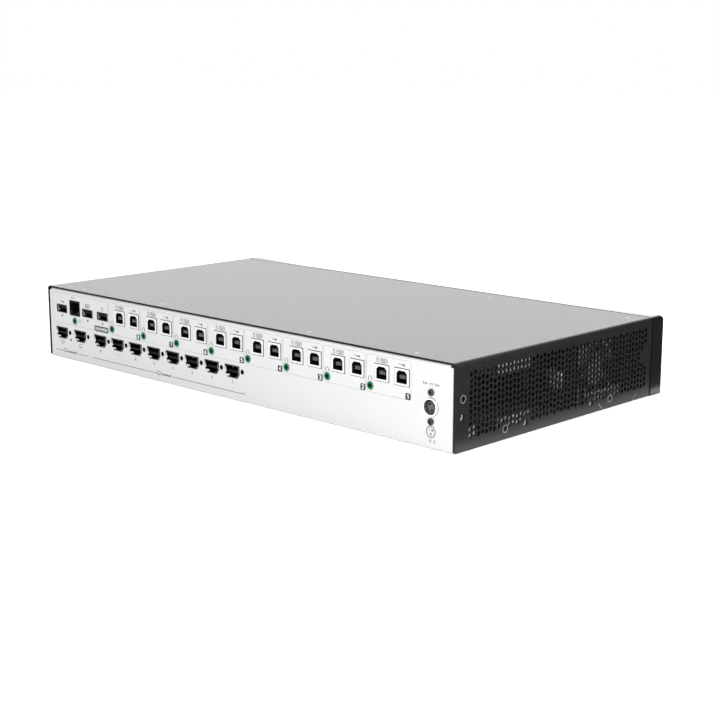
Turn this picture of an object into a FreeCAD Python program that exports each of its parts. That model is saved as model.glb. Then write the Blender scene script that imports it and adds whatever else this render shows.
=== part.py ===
"""Eight-channel KVM switch in a folded steel case.  Millimetres, +Z up.

Origin: centre of the footprint, on the surface that the case stands on.
X runs along the case, the front fascia faces -Y and the socket panel faces +Y.
"""
import FreeCAD, Part
import math
import os

V = FreeCAD.Vector

# ---------------------------------------------------------------- case
CASE_WIDTH = 420.0            # across the lid
CASE_HEIGHT = 56.0
LID_DEPTH = 210.0
LID_SHEET = 1.2
LID_BEND = 2.4                # outer bend radius
LID_GROUND_GAP = 0.5          # the lid's sides stop short of the floor
TRAY_SHEET = 1.2
TRAY_BEND = 1.6
TRAY_SIDE_GAP = 0.7           # between tray and lid side
PANEL_RECESS = 0.4            # socket panel behind the lid's rear edge

REAR_Y = 111.75               # rear edge of the lid
LID_FRONT_Y = REAR_Y - LID_DEPTH
PANEL_Y = REAR_Y - PANEL_RECESS
PANEL_INNER_Y = PANEL_Y - TRAY_SHEET
LID_UNDERSIDE = CASE_HEIGHT - LID_SHEET
TRAY_HALF_WIDTH = CASE_WIDTH / 2 - LID_SHEET - TRAY_SIDE_GAP
TRAY_FLANGE = 15.0            # top return flanges that take the lid screws
RETURN_DEPTH = 13.0           # side returns of the socket panel
RETURN_HEIGHT = 52.0
TAB_HEIGHT = 14.5
CORNER_NOTCH_WIDTH = 2.2
CORNER_NOTCH_HEIGHT = 1.9
STIFFENER_SETBACKS = (41.0, 75.0)
STIFFENER_Z = 41.5

# ---------------------------------------------------------------- vents in the lid's sides
VENT_HOLE_RADIUS = 1.55
VENT_COLUMNS = 50
VENT_ROWS = 11
VENT_COLUMN_PITCH = 3.83
VENT_ROW_PITCH = 3.8
VENT_STAGGER = 1.0            # every second column sits this much higher
VENT_FIRST_SETBACK = 14.9     # first column, in from the rear edge
VENT_FIRST_Z = 9.2
VENT_CLEARANCE = 4.6          # no vent hole nearer than this to a fixing
VENT_BLANK_CENTRE = (203.5, 30.5)
VENT_BLANK_RADIUS = 6.5

# Fixings on each side, as (setback from the rear edge, height).
SIDE_SCREW_PLACES = ((7.5, 33.2), (48.5, 7.2), (161.7, 6.8))
RACK_HOLE_PLACES = ((7.0, 22.0), (69.3, 7.2), (140.0, 7.2))
SIDE_TABS = ((0.8, 22.0), (42.5, 75.5), (134.5, 174.0))
# Fixings through the top, as (distance from the centre line, setback).
TOP_SCREW_PLACES = ((77.0, 9.0), (173.0, 8.0), (76.0, 198.0), (198.0, 198.0))
ARC_MARK_CENTRE = (171.6, 25.8)
ARC_MARK_RADIUS = 30.5
ARC_MARK_WIDTH = 1.0
ARC_MARK_DEPTH = 0.3
ARC_MARK_ANGLES = ((222.0, 234.0), (306.0, 318.0))

# ---------------------------------------------------------------- screws and nuts
M3_RADIUS = 1.5
M3_HEAD_RADIUS = 2.75
M3_HEAD_HEIGHT = 1.2
M3_CLEARANCE = 1.7
M4_CLEARANCE = 2.1
M4_THREAD = 1.65
M3_THREAD = 1.25
PAN_HEAD_RADIUS = 2.7
PAN_HEAD_HEIGHT = 1.7
NUT_RADIUS = 3.6
NUT_LENGTH = 3.0
RECESS_WIDTH = 0.75           # slot of a cross recess
RECESS_DEPTH = 0.8
HEX_SOCKET_RADIUS = 1.15      # across the corners of a socket screw's recess
LID_SCREW_LENGTH = 6.0
SIDE_SCREW_LENGTH = 4.5
BOARD_SCREW_LENGTH = 6.0
FAN_SCREW_LENGTH = 9.0
INLET_SCREW_LENGTH = 6.0
FIT = 0.1                     # radial play round a screw or in a moulded bore

# ---------------------------------------------------------------- front fascia
FASCIA_WIDTH = 421.0
FASCIA_BASE = 0.3
FASCIA_TOP = 56.2
FASCIA_WALL = 2.5
FASCIA_BACK_Y = LID_FRONT_Y - 0.4
FASCIA_END_DEPTH = 14.1
FASCIA_MIDDLE_DEPTH = 5.1
FASCIA_FLAT_HALF = 130.0      # half length of the flat middle
FASCIA_CHEEK = 8.0            # flat front of each end cheek
FASCIA_TOP_ROUND = 3.4
FASCIA_END_ROUND = 1.5
FASCIA_BOSS_RADIUS = 3.5
FASCIA_BOSSES = ((190.0, 12.0), (190.0, 44.0))
FASCIA_MIDDLE_Y = FASCIA_BACK_Y - FASCIA_MIDDLE_DEPTH
FASCIA_END_Y = FASCIA_BACK_Y - FASCIA_END_DEPTH

# ---------------------------------------------------------------- keys and indicators
CHANNELS = 8
KEY_PITCH = 27.0
KEY_ROW_Z = 22.0
KEY_WIDTH = 14.0
KEY_HEIGHT = 8.0
KEY_CORNER = 1.5
KEY_PROUD = 1.5
KEY_GAP = 0.3
KEY_LIP = 1.2
KEY_LIP_THICKNESS = 1.0
KEY_TRAVEL = 0.8
KEY_STEM_RADIUS = 2.2
KEY_STEM_HOLE = 3.0
OPTIONS_KEY_X = -119.0
CHANNEL_1_KEY_X = -80.0
LENS_Z = 35.0
LENS_RADIUS = 1.6
SWITCH_SIZE = 6.0
SWITCH_BODY = 3.4
SWITCH_STUB_RADIUS = 1.7
SWITCH_STUB = 0.8
SWITCH_REST_GAP = 0.1         # left between stem and stub with the key fully in
KEY_BOARD_FRONT_Y = LID_FRONT_Y + 9.0
KEY_BOARD_HALF = 165.0
KEY_BOARD_BASE = 8.0
KEY_BOARD_TOP = 44.0
KEY_BOARD_FOOT = 24.0
LED_SIZE = (3.2, 1.1, 1.8)    # along X, Y and Z
LENS_LAMP_GAP = 0.3
RIBBON_X = -20.0
RIBBON_WIDTH = 26.0
RIBBON_THICKNESS = 0.9
RIBBON_BEND = 5.0
RIBBON_TOP_Z = 33.0
RIBBON_HEADER_INSET = 7.0     # from the lower board's front edge

# ---------------------------------------------------------------- circuit boards
BOARD = 1.6
LOWER_BOARD_TOP = 15.8
UPPER_BOARD_TOP = 35.8
BOARD_REAR_Y = PANEL_INNER_Y - 0.6
BOARD_LEFT_X = 204.0
UPPER_BOARD_RIGHT_X = -177.0
UPPER_BOARD_DEPTH = 62.0
LOWER_BOARD_RIGHT_X = -192.0
LOWER_BOARD_DEPTH = 160.0
INLET_NOTCH_X = -176.0        # the lower board's corner is cut off round the inlet
INLET_NOTCH_Y = 80.0
PILLAR_RADIUS = 2.9
PILLAR_BORE_DEPTH = 8.0
PILLAR_STUD = 5.0
REAR_PILLAR_SETBACK = 24.0
UPPER_FRONT_PILLAR_SETBACK = 57.0
LOWER_FRONT_PILLAR_SETBACK = 152.0
PILLAR_XS = (-160.0, -53.0, 62.0, 196.0)

# ---------------------------------------------------------------- sockets on the rear panel
CHANNEL_PITCH = 38.3
CHANNEL_1_X = -158.5          # middle of the channel 1 pair of USB-B sockets
USB_B_SPACING = 17.0
USB_B_WIDTH = 12.0
USB_B_HEIGHT = 10.6
USB_B_LENGTH = 16.0
USB_B_MOUTH_WIDTH = 8.6
USB_B_MOUTH_HEIGHT = 7.9
USB_B_MOUTH_CHAMFER = 1.7
USB_B_MOUTH_DEPTH = 11.0
USB_B_TONGUE = (4.8, 2.2)
USB_B_TONGUE_SETBACK = 0.8
USB_B_GAP = 0.4               # the panel's cut-out is wider round these shells
SOCKET_PROUD = 0.3
SOCKET_GAP = 0.2              # panel cut-out around a socket

USB_A_XS = (192.3, 158.9, 139.8)
USB_A_Z = 39.55
USB_A_WIDTH = 13.1
USB_A_HEIGHT = 6.0
USB_A_LENGTH = 14.0
USB_A_SKIN = 0.35
USB_A_MOUTH_DEPTH = 10.5
USB_A_TONGUE = (11.1, 1.9)
USB_A_LEG = 1.0

OPTIONS_X = 175.4
OPTIONS_WIDTH = 12.9
OPTIONS_HEIGHT = 11.5
OPTIONS_LENGTH = 17.0
OPTIONS_MOUTH_WIDTH = 11.7
OPTIONS_MOUTH_HEIGHT = 6.8
OPTIONS_MOUTH_DEPTH = 13.0
OPTIONS_LATCH_WIDTH = 6.2
OPTIONS_LATCH_HEIGHT = 2.2

JACK_OFFSET = 18.4            # from the middle of the channel's USB-B pair
CONSOLE_JACK_X = 175.8
JACK_Z = 31.6
JACK_NOSE_RADIUS = 2.65
JACK_BORE_RADIUS = 1.8
JACK_BODY_WIDTH = 7.0
JACK_BODY_LENGTH = 11.5
JACK_BORE_DEPTH = 12.0

VIDEO_OUTPUT_XS = (193.3, 169.5)
VIDEO_INPUT_1_X = -8.7
VIDEO_INPUT_PITCH = 21.75
VIDEO_WIDTH = 14.8
VIDEO_BASE = LOWER_BOARD_TOP + 0.1
VIDEO_HEIGHT = 8.7
VIDEO_CORNER = (2.3, 3.0)     # lower corners: run along X, rise along Z
VIDEO_LENGTH = 12.0
VIDEO_SKIN = 0.5
VIDEO_MOUTH_DEPTH = 9.5
VIDEO_TONGUE = (11.0, 1.6)
LOCK_OFFSET = -10.4
LOCK_Z = 21.3
LOCK_HOLE_RADIUS = 1.75
LOCK_NUT_RADIUS = 2.6
LOCK_THREAD_RADIUS = 1.25
LOCK_NUT_LENGTH = 5.0
LOCK_THREAD_DEPTH = 4.2

INLET_X = -190.9
INLET_Z = 26.4
INLET_RING_RADIUS = 5.75
INLET_BORE_RADIUS = 4.85
INLET_PROUD = REAR_Y + 1.0 - PANEL_Y
INLET_FACE_RECESS = 2.3
INLET_INSULATOR_RADIUS = 4.8
INLET_NOSE_RADIUS = 3.6       # the insulator's front, inside a ring-shaped gap
INLET_NOSE_LENGTH = 2.0
INLET_KEY_SLOT = (1.4, 1.0, 6.0)   # width, height and length
INLET_FLANGE = (13.0, 1.5)    # width and thickness
INLET_FLANGE_MARGIN = 3.0     # beyond each screw
INLET_PIN_CIRCLE = 2.3
INLET_PIN_HOLE = 0.8
INLET_PIN_RADIUS = 0.5
INLET_PIN_SETBACK = 3.0       # from the insulator's face
INLET_PIN_TAIL = 3.0          # solder end behind the barrel
INLET_SCREW_OFFSET = 9.1
INLET_BODY_LENGTH = 11.0
INLET_HEAD_RADIUS = 2.2
INLET_HEAD_HEIGHT = 1.1

# ---------------------------------------------------------------- fan
FAN_SIZE = 40.0
FAN_THICKNESS = 10.0
FAN_OUTER_X = -205.0          # face towards the vents
FAN_INNER_X = FAN_OUTER_X + FAN_THICKNESS
FAN_Y = REAR_Y - 150.0
FAN_Z = 26.0
FAN_BORE = 19.0
FAN_HOLE_SPACING = 32.0
FAN_BLADES = 7
FAN_BLADE_TIP = 18.4
FAN_HUB_RADIUS = 9.0
FAN_HUB_WALL = 1.0
FAN_STATOR_RADIUS = 7.4
FAN_SHAFT_RADIUS = 1.0
FAN_SHAFT_CLEARANCE = 0.05
FAN_CORNER = 3.0
FAN_SPOKE = (2.4, 1.6)        # width and depth
FAN_BLADE = (7.5, 0.9)        # depth along the axis, and thickness
FAN_BLADE_PITCH = 40.0
FAN_ROTOR_START = 0.6         # behind the outer face
FAN_HUB_LENGTH = 7.0
FAN_STATOR_GAP = 1.2          # between stator and the hub's end wall
BRACKET_SHEET = 1.2
BRACKET_FOOT = 12.0

# ---------------------------------------------------------------- leads and their headers
INLET_HEADER_X = -158.0
INLET_HEADER_Y = 70.0
FAN_HEADER_X = -168.0
FAN_HEADER_Y = FAN_Y + 4.0
HEADER_HEIGHT = 6.0
WIRE_RADIUS = 0.8
WIRE_BEND = 2.0
FAN_WIRE_BEND = 5.0
FAN_WIRE_SPACING = 2.6
FAN_WIRE_Z = 44.0
INLET_WIRE_STEP = (4.0, 3.2)  # between the inlet's wires, along X and Y

# ---------------------------------------------------------------- board components
HEAT_SINK_PLACES = ((-120.0, 20.0), (-40.0, 20.0), (40.0, 20.0), (120.0, 20.0))
HEAT_SINK_SIZE = 32.0
HEAT_SINK_BASE = 2.5
HEAT_SINK_HEIGHT = 14.0
HEAT_SINK_FINS = 9
HEAT_SINK_FIN = 1.2
CHIP_HEIGHT = 1.4
SWITCHING_CHIP = 23.0
UPPER_CHIP = (9.0, 74.0)      # size, and place along Y
LOWER_CHIP = (12.0, -12.0)
LOWER_CHIP_OFFSET = 20.0      # along X from the channel's sockets
CAN_RADIUS = 6.0
CAN_HEIGHT = 18.0
CAN_PLACES = ((-168.0, -6.0), (-168.0, -20.0), (-154.0, -6.0), (-154.0, -20.0))
CAN_GROOVE = (0.8, 2.5)       # radius, and height above the board
WIDE_CAN_RADIUS = 6.5
WIDE_CAN_HEIGHT = 10.5
WIDE_CAN_PLACE = (-184.0, -23.0)


# ================================================================ helpers
def box(low, high):
    """Box between two opposite corners."""
    size = [b - a for a, b in zip(low, high)]
    return Part.makeBox(size[0], size[1], size[2], V(*low))


def cylinder(radius, length, base, axis):
    return Part.makeCylinder(radius, length, V(*base), V(*axis))


def cone(radius_1, radius_2, length, base, axis):
    return Part.makeCone(radius_1, radius_2, length, V(*base), V(*axis))


def fuse_all(shapes):
    """One solid from pieces that touch or overlap."""
    first, rest = shapes[0], list(shapes[1:])
    return first.fuse(rest).removeSplitter() if rest else first


def rounded_outline(width, height, radius):
    """Closed outline around the origin, as (u, v) edges' corner points and arcs."""
    half_w, half_h = width / 2, height / 2
    slant = radius * (1 - math.sqrt(0.5))
    edges = []
    corners = ((half_w, half_h), (-half_w, half_h), (-half_w, -half_h), (half_w, -half_h))
    for index, (cu, cv) in enumerate(corners):
        su, sv = math.copysign(1, cu), math.copysign(1, cv)
        along_u = (cu - su * radius, cv)
        along_v = (cu, cv - sv * radius)
        start, end = (along_v, along_u) if index % 2 == 0 else (along_u, along_v)
        edges.append((start, (cu - su * slant, cv - sv * slant), end))
    return edges


def rounded_prism(width, height, radius, length, centre, axis):
    """Rounded bar of that width and height, running length along +X or +Y from centre."""
    def place(u, v):
        if axis == "y":
            return V(centre[0] + u, centre[1], centre[2] + v)
        return V(centre[0], centre[1] + u, centre[2] + v)

    arcs = rounded_outline(width, height, radius)
    edges = []
    for index, (start, middle, end) in enumerate(arcs):
        following = arcs[(index + 1) % len(arcs)][0]
        edges.append(Part.Arc(place(*start), place(*middle), place(*end)).toShape())
        edges.append(Part.makeLine(place(*end), place(*following)))
    face = Part.Face(Part.Wire(edges))
    return face.extrude(V(0, length, 0) if axis == "y" else V(length, 0, 0))


def prism_along_y(points, y_start, y_end):
    """Prism whose outline is a list of (x, z) corners."""
    corners = [V(x, y_start, z) for x, z in points]
    face = Part.Face(Part.makePolygon(corners + corners[:1]))
    return face.extrude(V(0, y_end - y_start, 0))


def cross_recess(centre, axis, size):
    """Two crossed slots that start at centre and go down along axis."""
    across = V(*axis).cross(V(0, 0, 1)) if abs(axis[2]) < 0.5 else V(1, 0, 0)
    other = V(*axis).cross(across)
    slots = []
    for along, thin in ((across, other), (other, across)):
        half = along * (size / 2) + thin * (RECESS_WIDTH / 2)
        corner_a = V(*centre) - half
        corner_b = V(*centre) + half + V(*axis) * RECESS_DEPTH
        low = [min(corner_a[i], corner_b[i]) for i in range(3)]
        high = [max(corner_a[i], corner_b[i]) for i in range(3)]
        slots.append(box(low, high))
    return slots


def hex_socket(centre, axis):
    """Six-sided recess that starts at centre and goes down along a level axis."""
    corners = []
    for index in range(6):
        angle = math.radians(60.0 * index)
        corners.append(V(*centre) + V(0, math.cos(angle), math.sin(angle)) * HEX_SOCKET_RADIUS)
    return Part.Face(Part.makePolygon(corners + corners[:1])).extrude(V(*axis) * RECESS_DEPTH)


def countersunk_screw(head_centre, axis, length):
    """Flat-head M3 screw without its recess; axis points from the head into the work."""
    head = cone(M3_HEAD_RADIUS, M3_RADIUS, M3_HEAD_HEIGHT, head_centre, axis)
    shank = cylinder(M3_RADIUS, length, head_centre, axis)
    return head.fuse(shank).removeSplitter()


def pan_screw(seat_centre, axis, length, head_radius, head_height, shank_radius):
    """Pan-head screw; seat_centre is under the head and axis points into the work."""
    down = V(*axis)
    seat = V(*seat_centre)
    head = Part.makeCylinder(head_radius, head_height, seat, down * -1)
    top_edges = [e for e in head.Edges
                 if (e.CenterOfMass - seat).dot(down) < -head_height * 0.9]
    head = head.makeFillet(head_height * 0.35, top_edges)
    shank = Part.makeCylinder(shank_radius, length, seat, down)
    screw = head.fuse(shank).removeSplitter()
    top = seat - down * head_height
    return screw.cut(cross_recess(tuple(top), axis, head_radius * 1.2))


def channel_x(channel):
    """Middle of a channel's pair of USB-B sockets."""
    return CHANNEL_1_X + CHANNEL_PITCH * (channel - 1)


def key_x(channel):
    """Channel keys run from left to right as seen from the front."""
    return CHANNEL_1_KEY_X + KEY_PITCH * (channel - 1)


def video_input_x(channel):
    return VIDEO_INPUT_1_X + VIDEO_INPUT_PITCH * (channel - 1)


def video_xs():
    inputs = [video_input_x(channel) for channel in range(1, CHANNELS + 1)]
    return list(VIDEO_OUTPUT_XS) + inputs


def usb_b_xs(channel):
    return [channel_x(channel) + side * USB_B_SPACING / 2 for side in (1, -1)]


def jack_xs():
    return [CONSOLE_JACK_X] + [channel_x(c) + JACK_OFFSET for c in range(1, CHANNELS + 1)]


def video_outline(x, grow):
    """Outline of a video socket: flat top, both lower corners cut off."""
    half = VIDEO_WIDTH / 2 + grow
    base = VIDEO_BASE - grow
    top = VIDEO_BASE + VIDEO_HEIGHT + grow
    run, rise = VIDEO_CORNER
    return ((x - half, top), (x + half, top), (x + half, base + rise),
            (x + half - run, base), (x - half + run, base), (x - half, base + rise))


# ================================================================ lid
def vent_centres():
    """Centres of one side's vent holes, as (y, z)."""
    fixings = SIDE_SCREW_PLACES + RACK_HOLE_PLACES
    centres = []
    for column in range(VENT_COLUMNS):
        setback = VENT_FIRST_SETBACK + VENT_COLUMN_PITCH * column
        lift = VENT_STAGGER if column % 2 else 0.0
        for row in range(VENT_ROWS):
            z = VENT_FIRST_Z + VENT_ROW_PITCH * row + lift
            blank = math.dist((setback, z), VENT_BLANK_CENTRE) < VENT_BLANK_RADIUS
            blocked = any(math.dist((setback, z), place) < VENT_CLEARANCE for place in fixings)
            if not blank and not blocked:
                centres.append((REAR_Y - setback, z))
    return centres


def lid_side(side):
    """Perforated side of the lid, up to the start of its bend."""
    outer_x = side * CASE_WIDTH / 2
    height = CASE_HEIGHT - LID_BEND - LID_GROUND_GAP
    middle = V(outer_x, REAR_Y - LID_DEPTH / 2, LID_GROUND_GAP + height / 2)
    half_depth, half_height, corner = LID_DEPTH / 2, height / 2, 1.5
    low_left = V(outer_x, middle.y - half_depth, middle.z - half_height)
    low_right = V(outer_x, middle.y + half_depth, middle.z - half_height)
    up_right = V(outer_x, middle.y + half_depth, middle.z + half_height)
    up_left = V(outer_x, middle.y - half_depth, middle.z + half_height)
    cut = corner * (1 - math.sqrt(0.5))
    outline = Part.Wire([
        Part.makeLine(low_left + V(0, corner, 0), low_right - V(0, corner, 0)),
        Part.Arc(low_right - V(0, corner, 0), low_right + V(0, -cut, cut),
                 low_right + V(0, 0, corner)).toShape(),
        Part.makeLine(low_right + V(0, 0, corner), up_right),
        Part.makeLine(up_right, up_left),
        Part.makeLine(up_left, low_left + V(0, 0, corner)),
        Part.Arc(low_left + V(0, 0, corner), low_left + V(0, cut, cut),
                 low_left + V(0, corner, 0)).toShape()])
    holes = []
    for y, z in vent_centres():
        circle = Part.Circle(V(outer_x, y, z), V(1, 0, 0), VENT_HOLE_RADIUS)
        holes.append(Part.Wire(circle.toShape()))
    face = Part.makeFace([outline] + holes, "Part::FaceMakerBullseye")
    return face.extrude(V(-side * LID_SHEET, 0, 0))


def lid_bend(side):
    """Quarter-round bend that joins a side to the top."""
    axis_x = side * (CASE_WIDTH / 2 - LID_BEND)
    base = (axis_x, LID_FRONT_Y, CASE_HEIGHT - LID_BEND)
    outer = cylinder(LID_BEND, LID_DEPTH, base, (0, 1, 0))
    inner = cylinder(LID_BEND - LID_SHEET, LID_DEPTH, base, (0, 1, 0))
    far_x = side * (CASE_WIDTH / 2 + 1)
    quadrant = box((min(axis_x, far_x), LID_FRONT_Y, CASE_HEIGHT - LID_BEND),
                   (max(axis_x, far_x), REAR_Y, CASE_HEIGHT + 1))
    return outer.cut(inner).common(quadrant)


def arc_mark(side, angles):
    """Shallow pressed arc low on the lid's side."""
    y_centre = REAR_Y - ARC_MARK_CENTRE[0]
    outer_x = side * CASE_WIDTH / 2
    start = V(outer_x - side * ARC_MARK_DEPTH, y_centre, ARC_MARK_CENTRE[1])
    length = ARC_MARK_DEPTH * 2
    sweep = angles[1] - angles[0]
    outer = Part.makeCylinder(ARC_MARK_RADIUS + ARC_MARK_WIDTH / 2, length, start, V(side, 0, 0), sweep)
    inner = Part.makeCylinder(ARC_MARK_RADIUS - ARC_MARK_WIDTH / 2, length, start, V(side, 0, 0), sweep)
    sector = outer.cut(inner).Solids[0]
    # The sector starts at a direction fixed by the axis, so it is turned to its angle.
    reference = sector.CenterOfMass - start
    current = math.degrees(math.atan2(reference.z, reference.y))
    wanted = (angles[0] + angles[1]) / 2
    sector.rotate(start, V(1, 0, 0), wanted - current)
    return sector


def lid():
    """Cover folded from one sheet: top, two bends, two perforated sides."""
    half_top = CASE_WIDTH / 2 - LID_BEND
    top = box((-half_top, LID_FRONT_Y, LID_UNDERSIDE), (half_top, REAR_Y, CASE_HEIGHT))
    pieces = [top]
    for side in (-1, 1):
        pieces += [lid_bend(side), lid_side(side)]
    shell = pieces[0].fuse(pieces[1:]).removeSplitter()
    tools = []
    for x, setback in TOP_SCREW_PLACES:
        for side in (-1, 1):
            centre = (side * x, REAR_Y - setback, CASE_HEIGHT)
            tools += countersink(centre, (0, 0, -1))
    for side in (-1, 1):
        outer_x = side * CASE_WIDTH / 2
        for setback, z in SIDE_SCREW_PLACES:
            tools += countersink((outer_x, REAR_Y - setback, z), (-side, 0, 0))
        for setback, z in RACK_HOLE_PLACES:
            tools.append(cylinder(M4_CLEARANCE, LID_SHEET, (outer_x, REAR_Y - setback, z), (-side, 0, 0)))
        tools += [arc_mark(side, angles) for angles in ARC_MARK_ANGLES]
    return shell.cut(tools)


def countersink(centre, axis):
    """Hole for a flat-head screw in the lid sheet."""
    return [cone(M3_HEAD_RADIUS + FIT, M3_RADIUS + FIT, M3_HEAD_HEIGHT, centre, axis),
            cylinder(M3_CLEARANCE, LID_SHEET, centre, axis)]


def lid_stiffener():
    """Inverted pan welded under the lid, with its closed ends behind the vents."""
    rear, front = (REAR_Y - setback for setback in STIFFENER_SETBACKS)
    half = TRAY_HALF_WIDTH - 0.5
    outer = box((-half, front, STIFFENER_Z), (half, rear, LID_UNDERSIDE))
    inner = box((-half + TRAY_SHEET, front + TRAY_SHEET, STIFFENER_Z),
                (half - TRAY_SHEET, rear - TRAY_SHEET, LID_UNDERSIDE - TRAY_SHEET))
    return outer.cut(inner)


def lid_top_screws():
    screws = []
    for x, setback in TOP_SCREW_PLACES:
        for side in (-1, 1):
            head, axis = (side * x, REAR_Y - setback, CASE_HEIGHT), (0, 0, -1)
            screw = countersunk_screw(head, axis, LID_SCREW_LENGTH)
            screws.append(screw.cut(cross_recess(head, axis, M3_HEAD_RADIUS * 1.3)))
    return screws


def lid_side_screws():
    screws = []
    for side in (-1, 1):
        for setback, z in SIDE_SCREW_PLACES:
            head, axis = (side * CASE_WIDTH / 2, REAR_Y - setback, z), (-side, 0, 0)
            screw = countersunk_screw(head, axis, SIDE_SCREW_LENGTH)
            screws.append(screw.cut(hex_socket(head, axis)))
    return screws


def clinch_nut(face_centre, axis, thread_radius):
    """Round press nut whose flange lies on the tray sheet's inner face."""
    body = cylinder(NUT_RADIUS, NUT_LENGTH - TRAY_SHEET, face_centre, axis)
    return body.cut(cylinder(thread_radius, NUT_LENGTH, face_centre, axis))


def clinch_nuts():
    nuts = []
    for side in (-1, 1):
        inner_x = side * (TRAY_HALF_WIDTH - TRAY_SHEET)
        for setback, z in RACK_HOLE_PLACES:
            nuts.append(clinch_nut((inner_x, REAR_Y - setback, z), (-side, 0, 0), M4_THREAD))
        for setback, z in SIDE_SCREW_PLACES:
            nuts.append(clinch_nut((inner_x, REAR_Y - setback, z), (-side, 0, 0), M3_RADIUS))
        for x, setback in TOP_SCREW_PLACES:
            face = (side * x, REAR_Y - setback, LID_UNDERSIDE - TRAY_SHEET)
            nuts.append(clinch_nut(face, (0, 0, -1), M3_RADIUS))
    return nuts


# ================================================================ base tray
def tray_blank():
    """Floor, socket panel and front upstand, folded from one sheet."""
    low = (-TRAY_HALF_WIDTH, LID_FRONT_Y, 0.0)
    high = (TRAY_HALF_WIDTH, PANEL_Y, LID_UNDERSIDE)
    outer = box(low, high)
    long_edges = [e for e in outer.Edges if e.Length > CASE_WIDTH / 2 and is_along_x(e)]
    outer = outer.makeFillet(TRAY_BEND, long_edges)
    inner = box((low[0], low[1] + TRAY_SHEET, TRAY_SHEET),
                (high[0], high[1] - TRAY_SHEET, high[2] - TRAY_SHEET))
    long_edges = [e for e in inner.Edges if e.Length > CASE_WIDTH / 2 and is_along_x(e)]
    inner = inner.makeFillet(TRAY_BEND - TRAY_SHEET, long_edges)
    mouth = box((low[0], low[1] + TRAY_FLANGE, CASE_HEIGHT / 2),
                (high[0], high[1] - TRAY_FLANGE, CASE_HEIGHT))
    return outer.cut([inner, mouth])


def is_along_x(edge):
    """True for a straight edge that runs along X."""
    start, end = edge.Vertexes[0].Point, edge.Vertexes[-1].Point
    return abs(end.y - start.y) < 1e-6 and abs(end.z - start.z) < 1e-6


def tray_side_tabs(side):
    """Upright tabs behind the lid's side, and the panel's return."""
    outer_x = side * TRAY_HALF_WIDTH
    inner_x = side * (TRAY_HALF_WIDTH - TRAY_SHEET)
    low_x, high_x = min(outer_x, inner_x), max(outer_x, inner_x)
    tabs = []
    for near, far in SIDE_TABS:
        low = (low_x, REAR_Y - far, TRAY_SHEET / 2)
        tabs.append(box(low, (high_x, REAR_Y - near - TRAY_SHEET / 2, TAB_HEIGHT)))
    panel_return = box((low_x, REAR_Y - RETURN_DEPTH, TRAY_SHEET / 2),
                       (high_x, PANEL_Y - TRAY_SHEET / 2, RETURN_HEIGHT))
    return tabs + [panel_return]


def rear_cut_outs():
    """Every opening in the socket panel."""
    depth = TRAY_SHEET + 2
    start = PANEL_Y - depth + 1
    tools = []
    for channel in range(1, CHANNELS + 1):
        for x in usb_b_xs(channel):
            centre = (x, start, UPPER_BOARD_TOP + USB_B_HEIGHT / 2)
            tools.append(rounded_prism(USB_B_WIDTH + 2 * USB_B_GAP, USB_B_HEIGHT + 2 * USB_B_GAP,
                                       0.4, depth, centre, "y"))
    for x in USB_A_XS:
        tools.append(rounded_prism(USB_A_WIDTH + 2 * SOCKET_GAP, USB_A_HEIGHT + 2 * SOCKET_GAP,
                                   0.6, depth, (x, start, USB_A_Z), "y"))
    options_z = UPPER_BOARD_TOP + OPTIONS_HEIGHT / 2
    tools.append(rounded_prism(OPTIONS_WIDTH + 2 * SOCKET_GAP, OPTIONS_HEIGHT + 2 * SOCKET_GAP,
                               0.4, depth, (OPTIONS_X, start, options_z), "y"))
    for x in jack_xs():
        tools.append(cylinder(JACK_NOSE_RADIUS + SOCKET_GAP, depth, (x, start, JACK_Z), (0, 1, 0)))
    for x in video_xs():
        tools.append(prism_along_y(video_outline(x, SOCKET_GAP), start, start + depth))
        tools.append(cylinder(LOCK_HOLE_RADIUS, depth, (x + LOCK_OFFSET, start, LOCK_Z), (0, 1, 0)))
    tools.append(cylinder(INLET_RING_RADIUS + SOCKET_GAP, depth, (INLET_X, start, INLET_Z), (0, 1, 0)))
    for side in (-1, 1):
        centre = (INLET_X, start, INLET_Z + side * INLET_SCREW_OFFSET)
        tools.append(cylinder(M3_THREAD + FIT, depth, centre, (0, 1, 0)))
    return tools


def front_cut_outs():
    """Openings in the front upstand for key stems, indicators and fascia screws."""
    depth = TRAY_SHEET + 2
    start = LID_FRONT_Y - 1
    tools = []
    for x in key_xs():
        tools.append(cylinder(KEY_STEM_HOLE, depth, (x, start, KEY_ROW_Z), (0, 1, 0)))
    for x in lens_xs():
        tools.append(cylinder(LENS_RADIUS + 0.4, depth, (x, start, LENS_Z), (0, 1, 0)))
    for x, z in fascia_boss_places():
        tools.append(cylinder(M3_CLEARANCE, depth, (x, start, z), (0, 1, 0)))
    return tools


def fixing_cut_outs():
    """Screw holes in the tray's tabs and top flanges, and the panel's corner notches."""
    tools = []
    for side in (-1, 1):
        outer_x = side * (TRAY_HALF_WIDTH + 0.5)
        for setback, z in SIDE_SCREW_PLACES:
            centre = (outer_x, REAR_Y - setback, z)
            tools.append(cylinder(M3_RADIUS + 0.05, TRAY_SHEET + 1, centre, (-side, 0, 0)))
        for setback, z in RACK_HOLE_PLACES:
            centre = (outer_x, REAR_Y - setback, z)
            tools.append(cylinder(M4_THREAD, TRAY_SHEET + 1, centre, (-side, 0, 0)))
        for x, setback in TOP_SCREW_PLACES:
            centre = (side * x, REAR_Y - setback, LID_UNDERSIDE + 0.5)
            tools.append(cylinder(M3_RADIUS + 0.05, TRAY_SHEET + 1, centre, (0, 0, -1)))
        edge_x = side * TRAY_HALF_WIDTH
        notch_x = side * (TRAY_HALF_WIDTH - CORNER_NOTCH_WIDTH)
        tools.append(box((min(edge_x, notch_x), LID_FRONT_Y - 1, LID_UNDERSIDE - CORNER_NOTCH_HEIGHT),
                         (max(edge_x, notch_x), PANEL_Y + 1, LID_UNDERSIDE + 1)))
    return tools


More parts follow.
